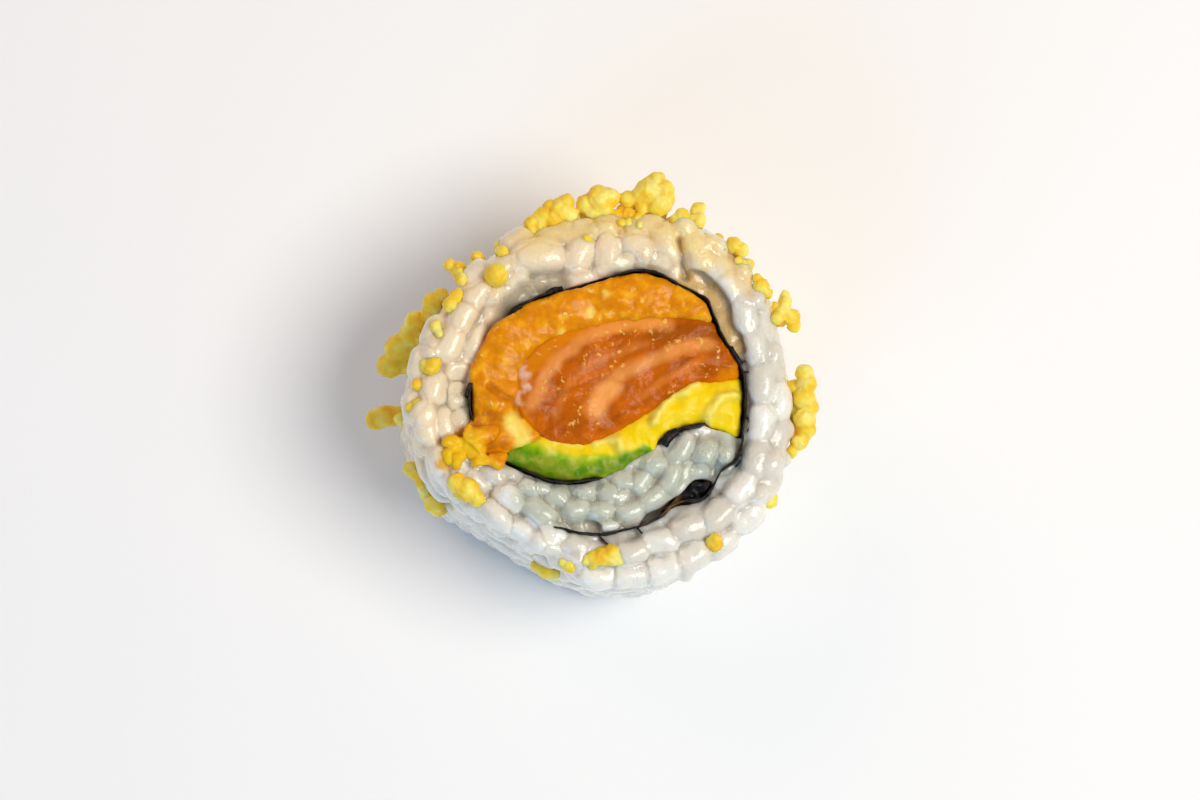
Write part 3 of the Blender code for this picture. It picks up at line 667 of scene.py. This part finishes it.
points = points_of(rice)
unevenness = lumps(points, 1.1, 13)
on_top = ramp(points[:, 2], 20.5, 22.0)
nearest, crease = grain_pattern(points)
# Painted shade: the rice is darkened in its crevices, where two grains meet, and in the recess by the nori at
# its upper left.
shadow = on_top * near(points, RECESSES[1][0], 0.8, 1.8, 0.3 * unevenness)
hollow = np.maximum.reduce([ramp(hollows(rice, 30), -0.05, 0.4), 0.25 * crease * on_top, shadow])
give_mask(rice, "hollow", 0.55 * hollow)
milky = np.random.RandomState(5).uniform(0, 1, len(SHOWN_GRAINS) + len(STRIP_GRAINS))
give_mask(rice, "milky", 0.5 + (milky[nearest] - 0.5) * (1 - crease) * on_top)
# Painted shade: a grey-blue tint over the inner strip stands in for cool shade and the dark nori seen through
# the rice.
give_mask(rice, "in_strip", 0.8 * near(points, INNER_STRIP, 1.7, 3.3, 0.3 * unevenness))
give_mask(rice, "juice", on_top * near(points, JUICE_SMEAR, 0.4, 1.5, 0.8 * unevenness))
give_mask(rice, "dust", 0.5 * on_top * near(points, CRUMB_DUST, 0.6, 2.6, 1.2 * unevenness))
# Painted shade: a warm beige tint on the left side, away from the key light.
give_mask(rice, "warm", 0.85 * near(points, WARM_SIDE, 2.0, 5.0, 0.8 * unevenness))
give_mask(rice, "wet", on_top * near_spots(points, WET_SPOTS, 0.4 * unevenness))
low_on_ledge = 1 - ramp(points[:, 2], 22.4, 23.2)
# Painted shade: a darker beige tint on the low ledge by the nori.
give_mask(rice, "ledge", low_on_ledge * near(points, LEDGE_MIDDLE, 1.0, 1.9, 0.2 * unevenness))

cooked_rice, tree, shader, place = new_material("cooked_rice")
tone = add_node(tree, "ShaderNodeMix", {0: 0.5, 2: clouds(tree, place, 0.5, 3.0), 3: mask_of(tree, "milky")})
cream = mixed(tree, mapped(tree, tone.outputs[0], 0.3, 0.7), linear("DED9CC"), "F4F1E7")
# Painted shade over the cream: warm on the left side, grey-blue in the inner strip, beige on the low ledge and
# darker in the crevices. Then the real crumb dust and juice.
colour = painted(tree, cream, warm="F7E2BE", in_strip="C0C7B6", ledge="E0BE80", hollow="A09478")
colour = painted(tree, colour, dust="FBD76A", juice="F0B440")
rough_where_wet = mapped(tree, mask_of(tree, "wet"), 0.0, 1.0, 0.4, 1.6)
starch = calculated(tree, "MULTIPLY", clouds(tree, place, 2.6, 3.0), rough_where_wet)
gloss = mapped(tree, clouds(tree, place, 0.8, 2.0), 0.35, 0.65, 0.1, 0.32)
set_surface(tree, shader, colour, starch, 0.8, 0.3, roughness=gloss, glow=(1.0, (1.0, 0.9, 0.75), 1.3))
set_sockets(tree, shader, {"IOR": 1.4, "Coat Weight": 0.8, "Coat Roughness": 0.08})
finish_piece(rice, cooked_rice, "rice")


# Mango, salmon and avocado, laid in strips on the rice and rolled up, so the knife shows their
# cross sections. Each is the CAD solid remeshed finely, let out until the three press on each
# other and on the nori, and worked with the lumps, fibres and smears that its cut face shows.
FILLING_VOXEL = 0.2
LET_OUT = 0.36


def filling_from(node, name, added=()):
    """A finely meshed copy of a CAD filling with what is added to it, in millimetres on the plan."""
    piece = bpy.data.objects.new(name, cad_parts[node].data.copy())
    bpy.context.collection.objects.link(piece)
    shift = Matrix.Translation((plan_origin.x * MM, plan_origin.y * MM, 0))
    piece.data.transform((shift @ Matrix.Scale(MM, 4)).inverted())
    select_only(piece)
    bpy.ops.object.mode_set(mode="EDIT")
    bpy.ops.mesh.select_all(action="SELECT")
    bpy.ops.mesh.remove_doubles(threshold=0.001)
    bpy.ops.object.mode_set(mode="OBJECT")
    if added:
        piece = joined(name, [piece, *added])
    remesh(piece, FILLING_VOXEL)
    soften(piece, 5)
    points = points_of(piece) + normals_of(piece) * LET_OUT
    points[:, 2] = np.maximum(points[:, 2], 0)
    move_points(piece, points)
    return piece


def at_top(points, depth=2.5):
    return ramp(points[:, 2], HEIGHT - 1.2 - depth, HEIGHT - 1.2)


def shake_sideways(points, amount, flat, seed):
    shift = np.stack([lumps(flat, 0.9, seed), lumps(flat, 0.9, seed + 1)], axis=1)
    points[:, :2] += amount[:, None] * shift


def specks(tree, place, bits_per_mm, patch_start):
    """Fine bits that gather in patches, which lighten the colour both as pale pulp and as painted wet glints.
    """
    bits = mapped(tree, clouds(tree, place, bits_per_mm, 2.0), 0.6, 0.68)
    patches = mapped(tree, clouds(tree, place, 0.4, 1.0), patch_start, patch_start + 0.12, 0.0, 0.8)
    return calculated(tree, "MULTIPLY", bits, patches)


def cut_relief(flat):
    """The knife's waves across the cut face, the same on all three, so that they meet."""
    return 0.3 * lumps(flat, 2.8, 21) + 0.13 * lumps(flat, 1.2, 22)


# Mango: ripe flesh cut in strips, juicy and smooth with short fibres, pushed out over the nori
# on its left by the roll's tightness.
MANGO_BULGES = (((-12.0, 3.6), (-10.6, 6.4)), ((-12.6, -3.6), (-11.4, -4.6)))
MANGO_FOLD = ((-11.7, 1.4), (-10.6, 0.5), (-9.2, -0.2), (-8.2, -1.6))
MANGO_PALE = ((-9.3, -2.4), (-8.4, -3.6), (-8.0, -4.8))
MANGO_SPOTS = (  # pale spots, each with its radius
    ((0.7, 11.4), 0.5), ((-1.0, 9.5), 0.6), ((-3.9, 6.9), 0.7), ((-6.0, 3.4), 0.6), ((-7.9, 3.0), 0.5),
)  # fmt: skip
SMEAR = (  # flesh wiped over the rice: x, y, height of its top, length, width, degrees turned
    (-12.3, -4.5, 24.1, 2.4, 1.8, -20), (-13.6, -4.1, 24.1, 1.4, 1.0, 30), (-14.5, -4.8, 23.9, 1.5, 1.1, -10),
    (-15.4, -5.0, 24.0, 1.3, 0.9, -60), (-16.1, -6.2, 23.8, 1.3, 0.8, -80), (-13.3, -5.6, 24.0, 1.8, 1.2, -30),
    (-12.0, -6.1, 24.0, 1.9, 1.1, -35), (-14.7, -5.9, 23.8, 1.0, 0.8, 20), (-11.6, -3.6, 24.3, 1.9, 1.4, 0),
    (-12.9, -3.3, 24.0, 1.2, 0.9, -30), (-10.9, -6.7, 24.0, 1.5, 1.0, -20), (-15.2, -6.9, 23.6, 0.8, 0.6, -70),
)  # fmt: skip
SMEAR_BITS = 16
MANGO_LAP = 0.9
SOFT_EDGE = ((6.0, 8.6), (1.0, 8.3), (-2.0, 7.6), (-5.1, 6.1), (-8.1, 2.8), (-9.0, -0.6), (-7.4, -3.4))
MANGO_BROWN = (((-12.2, -1.5), (-11.0, -2.0)), ((-11.4, -4.9), (-10.4, -5.1)), ((-12.9, -2.6), (-12.4, -3.2)))

smear = []
for x, y, top, length, width, turn in SMEAR:
    thick = 0.55 * width
    smear.append(lay_grain((x, y, top - thick / 2), (0, 0, 1), math.radians(turn), (length, width, thick)))
for _ in range(SMEAR_BITS):
    place = (rice_draws.uniform(-16.4, -10.4), rice_draws.uniform(-6.8, -3.9), rice_draws.uniform(23.3, 23.8))
    size = [rice_draws.uniform(0.5, 1.1) for _ in range(3)]
    smear.append(lay_grain(place, (0, 0, 1), rice_draws.uniform(0, math.pi), size))
for model in grain_models:
    bpy.data.objects.remove(model)
mango = filling_from("mango", "mango_flesh", smear)
points = points_of(mango)
top = at_top(points)
flat = points * (1, 1, 0)
swell = near(points, MANGO_BULGES[0], 0.8, 3.6)
swell += 1.1 * near(points, MANGO_BULGES[1], 0.5, 2.2)
outwards = flat / np.linalg.norm(flat, axis=1)[:, None]
points += outwards * (swell * top)[:, None]
fold = near(points, MANGO_FOLD, 0.1, 0.7, 0.15 * lumps(flat, 0.8, 20))
relief = cut_relief(flat) + 0.07 * lumps(flat, 0.5, 23) - 0.5 * fold
points[:, 2] += top * relief + 0.12 * top * swell
wiped = np.hypot(points[:, 0], points[:, 1]) + 0.5 * lumps(flat, 0.8, 29)
wiped = ramp(wiped, 12.4, 14.0) * ramp(-points[:, 1], 2.6, 4.4)
points[:, 2] += wiped * (0.25 * lumps(points, 0.8, 61) + 0.12 * lumps(points, 0.45, 62))
lap = MANGO_LAP * top * near(points, SOFT_EDGE, 0.2, 1.5) * np.clip(0.4 + lumps(flat, 2.0, 63), 0, 1)
lap *= ramp(points[:, 1], -1.5, 1.0)
to_salmon = (1.0, 3.0) - points[:, :2]
points[:, :2] += to_salmon / np.linalg.norm(to_salmon, axis=1)[:, None] * lap[:, None]
points[:, 2] += 0.18 * np.minimum(lap, 1)
shake_sideways(points, 0.14 * top, flat, 24)
points[:, 2] = np.maximum(points[:, 2], 0)
move_points(mango, points)
give_mask(mango, "wiped", wiped)
pale = near(points, MANGO_PALE, 0.5, 1.5, 0.4 * lumps(flat, 1.0, 26))
for spot, radius in MANGO_SPOTS:
    away = np.linalg.norm(points[:, :2] - np.array(spot), axis=1) + 0.25 * lumps(flat, 0.6, 27)
    pale = np.maximum(pale, 0.8 * (1 - ramp(away, 0.5 * radius, 1.3 * radius)))
# Painted shade: olive-brown darkening along the fold and on patches at the lower left.
brown = fold * 0.45
for spot in MANGO_BROWN:
    brown = np.maximum(brown, 0.5 * near(points, spot, 0.0, 0.8, 0.7 * lumps(flat, 0.5, 28)))
give_mask(mango, "pale", pale)
give_mask(mango, "brown", brown)

# Ripe mango: deep orange yellow and lit from within, with an even shine of juice and paler bits of flesh
# that gather in patches, partly painted wet glints, and painted brown shade in its fold and at its lower left.
mango_flesh, tree, shader, place = new_material("mango_flesh")
ripe = graded(tree, clouds(tree, place, 0.85, 5.0), (0.32, "DA8802"), (0.5, "E89204"), (0.68, "F8B214"))
# Pale specks: bits of flesh, lightened partly as painted wet glints.
speck = specks(tree, place, 1.4, 0.5)
colour = mixed(tree, speck, painted(tree, ripe, pale="FBDC66", wiped="F8C41C", brown="A8560A"), "FFE07A")
height = calculated(tree, "ADD", clouds(tree, place, 1.5, 4.0), speck)
glow = (0.5, (1.0, 0.45, 0.1), 1.2)
set_surface(tree, shader, colour, height, 0.55, 0.2, roughness=0.15, specular=0.18, glow=glow)
finish_piece(mango, mango_flesh, "mango")


# Salmon: one raw strip cut across its muscle, dark orange with soft bands of fat, a thin silvery
# membrane at its left end, and grains of wet pulp that stick to it; their pale colour is partly painted wet
# glints.
FAT_BANDS = (  # lines and half widths
    (((-7.2, -0.6), (-6.4, 1.1), (-5.8, 2.7), (-4.2, 4.6), (-3.0, 5.4), (-1.7, 6.6), (0.2, 7.5),
      (2.2, 8.1)), 0.38),
    (((2.0, 8.1), (5.4, 8.3), (7.5, 8.2)), 0.3),
    (((-0.6, -0.8), (-0.1, 0.8), (0.7, 1.6), (2.6, 3.0), (4.6, 4.0), (6.7, 4.9), (8.7, 5.7),
      (10.3, 6.1), (11.8, 6.2)), 0.45),
    (((-0.4, -0.8), (0.4, 0.6), (1.3, 1.4)), 1.0),
    (((-4.6, -1.6), (-3.4, 1.4), (-1.2, 3.6), (2.0, 5.2), (5.0, 6.2)), 0.0),
    (((4.6, 0.6), (7.2, 2.6), (10.0, 4.0), (12.6, 4.6)), 0.0),
)  # fmt: skip
MEMBRANE = ((-8.2, 3.9), (-7.9, 2.9), (-7.7, 2.0), (-8.1, 1.0), (-8.7, 0.5), (-8.7, -0.4))
YELLOW_END = ((13.6, 2.6), (14.8, 3.4), (15.2, 2.4))
FIBRE_ALONG, FIBRE_ACROSS = (0.85, 0.53), (-0.53, 0.85)
DARK_BAND = ((6.0, 7.3), (8.6, 7.6), (11.0, 7.9), (13.5, 7.2))

salmon = filling_from("salmon", "salmon_strip")
points = points_of(salmon)
top = at_top(points)
flat = points * (1, 1, 0)
wander = 0.2 * lumps(flat, 1.4, 30)
fat = np.zeros(len(points))
for band, width in FAT_BANDS:
    share = near(points, smooth_line(band, 4), 0.4 * width, width + 0.7, wander)
    fat = np.maximum(fat, min(0.85, 0.2 + 0.9 * width) * share)
membrane = near(points, smooth_line(MEMBRANE, 4), 0.0, 0.6, 0.7 * lumps(flat, 0.55, 31))
dark = near(points, DARK_BAND, 0.4, 1.4, 0.3 * lumps(flat, 0.9, 32))
along, across = points[:, :2] @ FIBRE_ALONG, points[:, :2] @ FIBRE_ACROSS
fibre = lumps(np.stack([0.28 * along, 1.5 * across, 0 * along], axis=1), 1.0, 33)
relief = 0.7 * cut_relief(flat) + 0.05 * fat + 0.03 * fibre + 0.05 * lumps(flat, 0.5, 35)
points[:, 2] += top * relief
shake_sideways(points, 0.16 * top, flat, 36)
move_points(salmon, points)
give_mask(salmon, "fat", fat)
edge = np.minimum(distances(points, SOFT_EDGE), distances(points, YELLOW_END)) + 0.4 * lumps(flat, 0.8, 38)
give_mask(salmon, "soft_edge", 0.85 * (1 - ramp(edge, 0.2, 1.5)))
give_mask(salmon, "membrane", membrane)
give_mask(salmon, "dark", dark)
give_mask(salmon, "fibre", 0.5 + 0.3 * fibre)

# Raw salmon: dense orange muscle with soft pale fat, wet but not mirror-like, and a silvery film.
raw_salmon, tree, shader, place = new_material("raw_salmon")
mottle = calculated(tree, "ADD", clouds(tree, place, 0.5, 4.0), mask_of(tree, "fibre"))
muscle = graded(tree, calculated(tree, "MULTIPLY", mottle, 0.5), (0.34, "A84E00"), (0.62, "D66C00"))
flesh = painted(tree, muscle, dark="A85400", soft_edge="E68A02", fat="FFAE5C", membrane="EFC0A6")
# Pale specks: grains of wet pulp, lightened partly as painted wet glints.
speck = specks(tree, place, 1.6, 0.48)
colour = mixed(tree, speck, flesh, "FFC860")
height = calculated(tree, "ADD", clouds(tree, place, 2.0, 4.0), speck)
glow = (0.25, (1.0, 0.4, 0.1), 0.6)
set_surface(tree, shader, colour, height, 0.6, 0.18, roughness=0.15, specular=0.15, glow=glow)
finish_piece(salmon, raw_salmon, "salmon")


# Avocado: a ripe slice whose soft flesh the knife has smeared into ridges, with the side that lay
# under the skin turned to the rice.
AVOCADO_RIDGES = (  # lines, half widths and heights
    (((10.4, 2.1), (9.2, 1.2), (7.9, 0.8), (7.0, 0.0), (6.4, -1.1), (5.9, -2.0)), 0.42, 0.7),
    (((14.6, 0.7), (13.2, 0.7), (12.4, -0.4), (11.7, -1.5), (11.5, -2.6)), 0.4, 0.6),
    (((-0.4, -4.4), (0.2, -4.0), (1.9, -4.1), (2.2, -4.9)), 0.4, 0.6),
    (((-4.6, -4.1), (-2.0, -4.4)), 0.3, 0.3),
    (((-5.3, -5.3), (-4.9, -5.3)), 0.3, 0.35),
)  # fmt: skip
GREEN_SIDE = (
    (-9.6, -5.6), (-7.6, -6.6), (-5.0, -7.6), (-1.8, -8.1), (1.4, -7.3), (3.4, -6.4), (4.8, -5.8),
)  # fmt: skip
AVOCADO_BULGE = ((0.8, -7.4), (3.4, -6.0), (5.4, -4.8))
GREEN_CORNER = ((12.0, -3.4), (13.4, -3.3), (15.0, -4.0))

avocado = filling_from("avocado", "avocado_slice")
points = points_of(avocado)
top = at_top(points, 3.5)
flat = points * (1, 1, 0)
ridges = np.zeros(len(points))
relief = cut_relief(flat) + 0.1 * lumps(flat, 0.9, 41) + 0.05 * lumps(flat, 0.45, 42)
for ridge, width, raised in AVOCADO_RIDGES:
    crest = near(points, smooth_line(ridge, 4), 0.1, width + 0.5, 0.2 * lumps(flat, 0.9, 43))
    relief += raised * crest
    ridges = np.maximum(ridges, crest)
points[:, 2] += top * relief
shake_sideways(points, 0.16 * top, flat, 44)
bulge = 0.6 * top * near(points, AVOCADO_BULGE, 0.3, 1.6)
points[:, 0] += 0.45 * bulge
points[:, 1] -= 0.9 * bulge
move_points(avocado, points)
reach = 3.5 - 1.8 * ramp(points[:, 0], -3.0, 4.0)
skin_side = near(points, smooth_line(GREEN_SIDE, 4), 0.6, reach, 0.5 * lumps(flat, 1.0, 46))
corner = 0.6 * near(points, GREEN_CORNER, 0.1, 0.7, 0.25 * lumps(flat, 0.7, 47))
give_mask(avocado, "green", np.maximum(skin_side, corner))
give_mask(avocado, "ridge", 0.7 * ridges)

# Ripe avocado: buttery flesh with a soft, slightly oily shine, yellow and green at the skin side,
# and paler where the knife has raised ridges.
ripe_avocado, tree, shader, place = new_material("ripe_avocado")
TO_SKIN = ((0.0, "FFD902"), (0.26, "F4D800"), (0.42, "C8D000"), (0.7, "88B400"), (1.0, "568A00"))
flesh = graded(tree, mask_of(tree, "green"), *TO_SKIN)
faint = mapped(tree, clouds(tree, place, 0.6, 3.0), 0.4, 0.7, 0.0, 0.35)
colour = painted(tree, mixed(tree, faint, flesh, "FFE45A"), ridge="FFEB78")
glow = (0.4, (1.0, 0.8, 0.15), 1.0)
set_surface(
    tree, shader, colour, clouds(tree, place, 1.4, 3.0), 0.5, 0.2, roughness=0.22, specular=0.15, glow=glow
)
finish_piece(avocado, ripe_avocado, "avocado")


# Fried crumbs: drops of batter flicked into hot oil, which set as smooth beads and as clumps of
# beads. The roll was turned in them, so they stick to the rice of its side and a few to its cut.
CRUMBS = (  # clumps of beads: x, y, z, size
    ((-15.8, 14.9, 19.8, 1.2), (-14.8, 14.4, 19.8, 1.8), (-14.7, 12.9, 22.6, 1.3), (-14.8, 13.7, 21.2, 1.3)),
    ((-11.0, 13.3, 23.4, 2.6),),
    ((-10.3, 16.8, 20.8, 1.5), (-10.3, 16.0, 22.2, 1.4)),
    ((-12.8, 15.7, 20.2, 1.3),),
    ((-15.9, 10.1, 22.9, 1.5), (-15.2, 11.0, 22.4, 1.7)),
    ((-17.5, 11.0, 18.0, 2.1), (-17.7, 10.0, 17.2, 1.9), (-16.6, 11.8, 18.5, 1.7), (-17.1, 10.4, 17.8, 1.5)),
    ((-17.4, 7.8, 22.6, 1.3), (-17.0, 7.0, 22.9, 1.0)),
    ((-19.3, 9.3, 16.0, 2.3), (-19.7, 8.0, 14.8, 2.5), (-21.0, 6.7, 13.8, 2.8), (-21.9, 4.9, 12.5, 2.5),
     (-20.7, 5.3, 12.2, 2.5), (-20.1, 6.6, 13.5, 2.3), (-19.2, 6.6, 13.4, 2.4), (-18.7, 7.9, 15.0, 2.4),
     (-19.8, 4.9, 12.6, 2.2)),
    ((-18.4, 3.6, 22.6, 1.5), (-17.6, 3.8, 23.1, 1.5), (-17.5, 4.4, 23.0, 1.1), (-17.9, 3.1, 23.0, 1.4)),
    ((-19.3, 1.5, 22.6, 1.2),),
    ((-19.9, -0.9, 22.6, 1.1), (-19.2, -0.6, 22.6, 1.4)),
    ((-20.6, -1.2, 14.5, 1.4),),
    ((-23.1, -0.4, 7.5, 2.3), (-22.4, -0.2, 7.8, 2.5), (-21.5, -0.0, 7.2, 2.2), (-20.6, 0.0, 7.2, 2.0)),
    ((-19.4, -6.4, 11.8, 1.7), (-18.4, -7.8, 13.2, 1.3), (-17.6, -9.0, 11.5, 1.6), (-16.8, -10.1, 12.2, 2.1),
     (-16.4, -10.4, 11.2, 2.1), (-18.9, -7.1, 12.5, 1.2), (-18.0, -8.4, 12.3, 1.4)),
    ((-15.1, -8.9, 23.2, 2.1), (-14.0, -9.6, 23.3, 2.5), (-13.0, -10.5, 23.1, 1.7), (-14.5, -9.8, 22.6, 1.7)),
    ((-9.6, -12.9, 22.8, 0.7),),
    ((-6.0, -17.1, 16.8, 1.4), (-5.2, -17.6, 17.5, 1.6), (-4.3, -18.0, 17.0, 1.3)),
    ((-3.1, -17.5, 22.6, 1.3), (-3.8, -17.1, 22.6, 1.0)),
    ((-1.5, -16.9, 23.0, 1.1), (-0.5, -16.7, 23.1, 1.7), (0.4, -16.6, 23.2, 1.9), (1.3, -16.4, 23.2, 2.1),
     (2.0, -16.9, 23.0, 1.3), (-0.6, -17.4, 22.9, 1.0)),
    ((12.3, -15.0, 22.6, 1.7), (12.4, -14.5, 23.0, 1.3)),
    ((16.1, -8.9, 22.9, 1.0),),
    ((22.3, 3.4, 21.8, 1.9), (22.6, 2.3, 21.8, 2.1), (22.3, 0.7, 21.5, 2.5), (22.8, -0.2, 21.5, 2.1),
     (22.3, -1.6, 21.5, 2.3), (22.5, -2.6, 21.2, 2.1), (21.8, -3.9, 21.2, 1.9), (21.0, -5.0, 21.0, 1.2),
     (20.6, -5.6, 21.0, 0.7), (21.4, 1.8, 20.4, 2.2), (21.6, -0.6, 20.2, 2.4), (21.4, -2.6, 20.0, 2.2)),
    ((19.9, 9.9, 21.8, 1.9), (20.2, 11.0, 22.0, 1.5), (20.2, 11.7, 22.0, 1.1), (20.9, 9.5, 21.8, 1.7),
     (21.2, 8.5, 21.8, 1.3), (19.2, 9.2, 22.6, 1.3), (19.8, 9.6, 20.6, 1.8)),
    ((17.5, 12.7, 22.6, 1.7), (18.1, 11.9, 22.6, 1.2), (17.1, 13.5, 22.6, 1.0)),
    ((14.6, 17.1, 22.6, 1.6), (15.5, 16.6, 22.6, 1.6)),
    ((6.3, 24.2, 21.8, 1.9), (5.4, 22.8, 21.8, 2.8), (7.2, 23.1, 22.0, 2.1), (6.6, 21.6, 21.8, 2.8),
     (4.6, 22.4, 21.8, 2.1), (3.3, 22.1, 21.5, 1.9), (7.6, 22.1, 22.0, 1.5), (4.8, 21.1, 21.8, 1.5),
     (5.6, 23.8, 21.8, 1.5), (5.0, 21.4, 20.0, 2.4), (6.8, 21.2, 19.6, 2.2), (6.0, 22.8, 20.0, 2.2)),
    ((0.2, 22.0, 21.5, 3.0), (1.3, 22.2, 21.5, 2.1), (-0.3, 20.8, 21.2, 2.1), (0.7, 20.9, 21.5, 1.9),
     (-1.3, 21.5, 21.2, 2.1), (0.6, 20.8, 19.4, 2.4), (-0.8, 20.9, 19.2, 2.2)),
    ((10.7, 20.9, 22.0, 1.5), (10.8, 19.7, 22.6, 1.5), (11.2, 21.3, 22.0, 1.1)),
    ((9.0, 20.2, 22.6, 1.5), (9.5, 19.2, 22.6, 1.3), (8.3, 19.7, 22.6, 1.1), (9.9, 19.7, 22.6, 1.0)),
    ((-4.0, 20.8, 21.2, 2.5), (-4.8, 19.9, 21.2, 1.9), (-5.9, 20.2, 21.2, 1.7), (-7.1, 19.3, 21.0, 1.7),
     (-6.3, 19.0, 21.0, 1.5), (-3.4, 21.7, 21.2, 1.9), (-2.9, 20.3, 21.2, 1.7), (-5.0, 21.2, 21.2, 1.5),
     (-6.9, 18.5, 21.0, 1.3), (-4.2, 20.2, 19.6, 2.2), (-5.6, 19.4, 19.4, 2.0)),
    ((-1.3, 17.3, 23.0, 1.2),),
    ((11.4, 17.9, 22.4, 1.0), (12.2, 17.4, 22.8, 0.9), (13.0, 17.9, 21.8, 1.1)), ((13.4, 16.6, 22.9, 0.8),),
    ((15.0, 15.4, 22.8, 0.9), (15.6, 15.1, 22.6, 0.7)), ((16.1, 14.3, 22.8, 0.8), (16.3, 15.2, 21.9, 1.2)),
    ((17.6, 11.0, 22.8, 0.8),), ((3.2, 19.4, 22.9, 0.9), (2.4, 19.3, 22.8, 0.8)), ((4.4, 19.0, 23.2, 0.7),),
    ((2.2, 20.2, 21.4, 1.5), (3.3, 20.2, 21.6, 1.6), (4.2, 19.8, 22.0, 1.3), (2.8, 20.9, 20.8, 1.4)),
)  # fmt: skip
UNSEEN_CRUMBS, UNSEEN_SPACING = 12, 7.0
CRUMB_VOXEL = 0.14

crumb_draws = random.Random(11)
bpy.ops.object.select_all(action="DESELECT")
bpy.ops.mesh.primitive_ico_sphere_add(subdivisions=3, radius=0.5)
bead_model = bpy.context.active_object
beads = []


def add_bead(place, size):
    bead = bead_model.copy()
    bead.data = bead_model.data.copy()
    bpy.context.collection.objects.link(bead)
    bead.location = place
    bead.scale = [size * crumb_draws.uniform(0.92, 1.1) for _ in range(3)]
    bead.rotation_euler = [crumb_draws.uniform(0, math.pi) for _ in range(3)]
    beads.append(bead)


for clump in CRUMBS:
    for x, y, z, size in clump:
        add_bead((x, y, z), size)


def draw_unseen():
    angle, height = crumb_draws.uniform(-0.5, 2.3), crumb_draws.uniform(3, 17)
    return Vector((*polar(angle, side_radius(angle, height)), height))


for point in spread(draw_unseen, 300, UNSEEN_SPACING)[:UNSEEN_CRUMBS]:
    size = crumb_draws.uniform(1.4, 2.4)
    outwards = Vector((point.x, point.y, 0)).normalized()
    add_bead(point + outwards * 0.2 * size, size)
    for _ in range(crumb_draws.randint(0, 3)):
        step = Vector([crumb_draws.uniform(-0.6, 0.6) * size for _ in range(3)])
        add_bead(point + outwards * 0.3 * size + step, size * crumb_draws.uniform(0.5, 0.9))

crumbs = joined("fried_crumbs", beads)
bpy.data.objects.remove(bead_model)
remesh(crumbs, CRUMB_VOXEL)
soften(crumbs, 4)
points, normals = points_of(crumbs), normals_of(crumbs)
points += normals * (0.07 + 0.14 * lumps(points, 0.9, 50) + 0.12 * lumps(points, 0.42, 51))[:, None]
points[:, 2] = np.maximum(points[:, 2], 0.05)
move_points(crumbs, points)

# Fried batter: golden and bubbly, with a fine crust that a film of oil makes slightly shiny.
fried_batter, tree, shader, place = new_material("fried_batter")
golden = graded(tree, clouds(tree, place, 0.45, 3.0), (0.34, "FFC632"), (0.5, "FFDA46"), (0.66, "FFEC84"))
crust = clouds(tree, place, 2.4, 3.0)
glow = (0.7, (1.0, 0.7, 0.2), 0.8)
set_surface(tree, shader, golden, crust, 0.6, 0.1, roughness=0.35, specular=0.25, glow=glow)
finish_piece(crumbs, fried_batter)


# Floor, light and camera. The slice lies on white paper, seen from almost straight above. A wide
# soft light comes from its right, and weak warm and cool light from its upper and lower left.
bpy.ops.object.select_all(action="DESELECT")
bpy.ops.mesh.primitive_plane_add(size=3)
floor = bpy.context.active_object
floor.name = "floor"
# White paper: plain and matte, so it shows only the slice's soft shadow.
white_paper, tree, shader, place = new_material("white_paper")
set_sockets(tree, shader, {"Base Color": linear("FBFBFA"), "Roughness": 0.95, "Specular IOR Level": 0.1})
floor.data.materials.append(white_paper)

LIGHTS = (  # name, degrees round from +X, degrees up, metres away, size, watts, colour
    ("key", -8, 62, 0.60, 0.36, 2.45, "FFFAF2"),
    ("warm_fill", 135, 40, 0.60, 0.30, 0.45, "FFC8A0"),
    ("cool_fill", -125, 30, 0.60, 0.30, 0.8, "7CC4FF"),
)
for name, turn, lift, distance, size, watts, colour in LIGHTS:
    turn, lift = math.radians(turn), math.radians(lift)
    stand = Vector((*polar(turn, math.cos(lift)), math.sin(lift))) * distance
    bpy.ops.object.light_add(type="AREA", location=stand)
    light = bpy.context.active_object
    light.name = name
    light.data.shape = "DISK"
    light.data.size = size
    light.data.energy = watts
    light.data.color = linear(colour)[:3]
    light.rotation_euler = (Vector((0, 0, 0.012)) - stand).to_track_quat("-Z", "Y").to_euler()

world = bpy.data.worlds.new("studio")
world.use_nodes = True
world.node_tree.nodes["Background"].inputs["Color"].default_value = linear("F6F7FA")
world.node_tree.nodes["Background"].inputs["Strength"].default_value = 0.34
bpy.context.scene.world = world
bpy.context.scene.view_settings.view_transform = "Standard"

CAMERA_AZIMUTH, CAMERA_ELEVATION, CAMERA_DISTANCE = math.radians(-40), math.radians(81), 0.3533
aim = Vector((plan_origin.x * MM, plan_origin.y * MM, HEIGHT * MM))
away = Vector((
    math.sin(CAMERA_AZIMUTH) * math.cos(CAMERA_ELEVATION),
    -math.cos(CAMERA_AZIMUTH) * math.cos(CAMERA_ELEVATION),
    math.sin(CAMERA_ELEVATION),
))
up = (Vector((0, 1, 0)) - away.y * away).normalized()
across = up.cross(away)
bpy.ops.object.camera_add(location=aim + CAMERA_DISTANCE * away)
camera = bpy.context.active_object
camera.data.lens = 100
camera.rotation_euler = Matrix((across, up, away)).transposed().to_euler()
bpy.context.scene.camera = camera
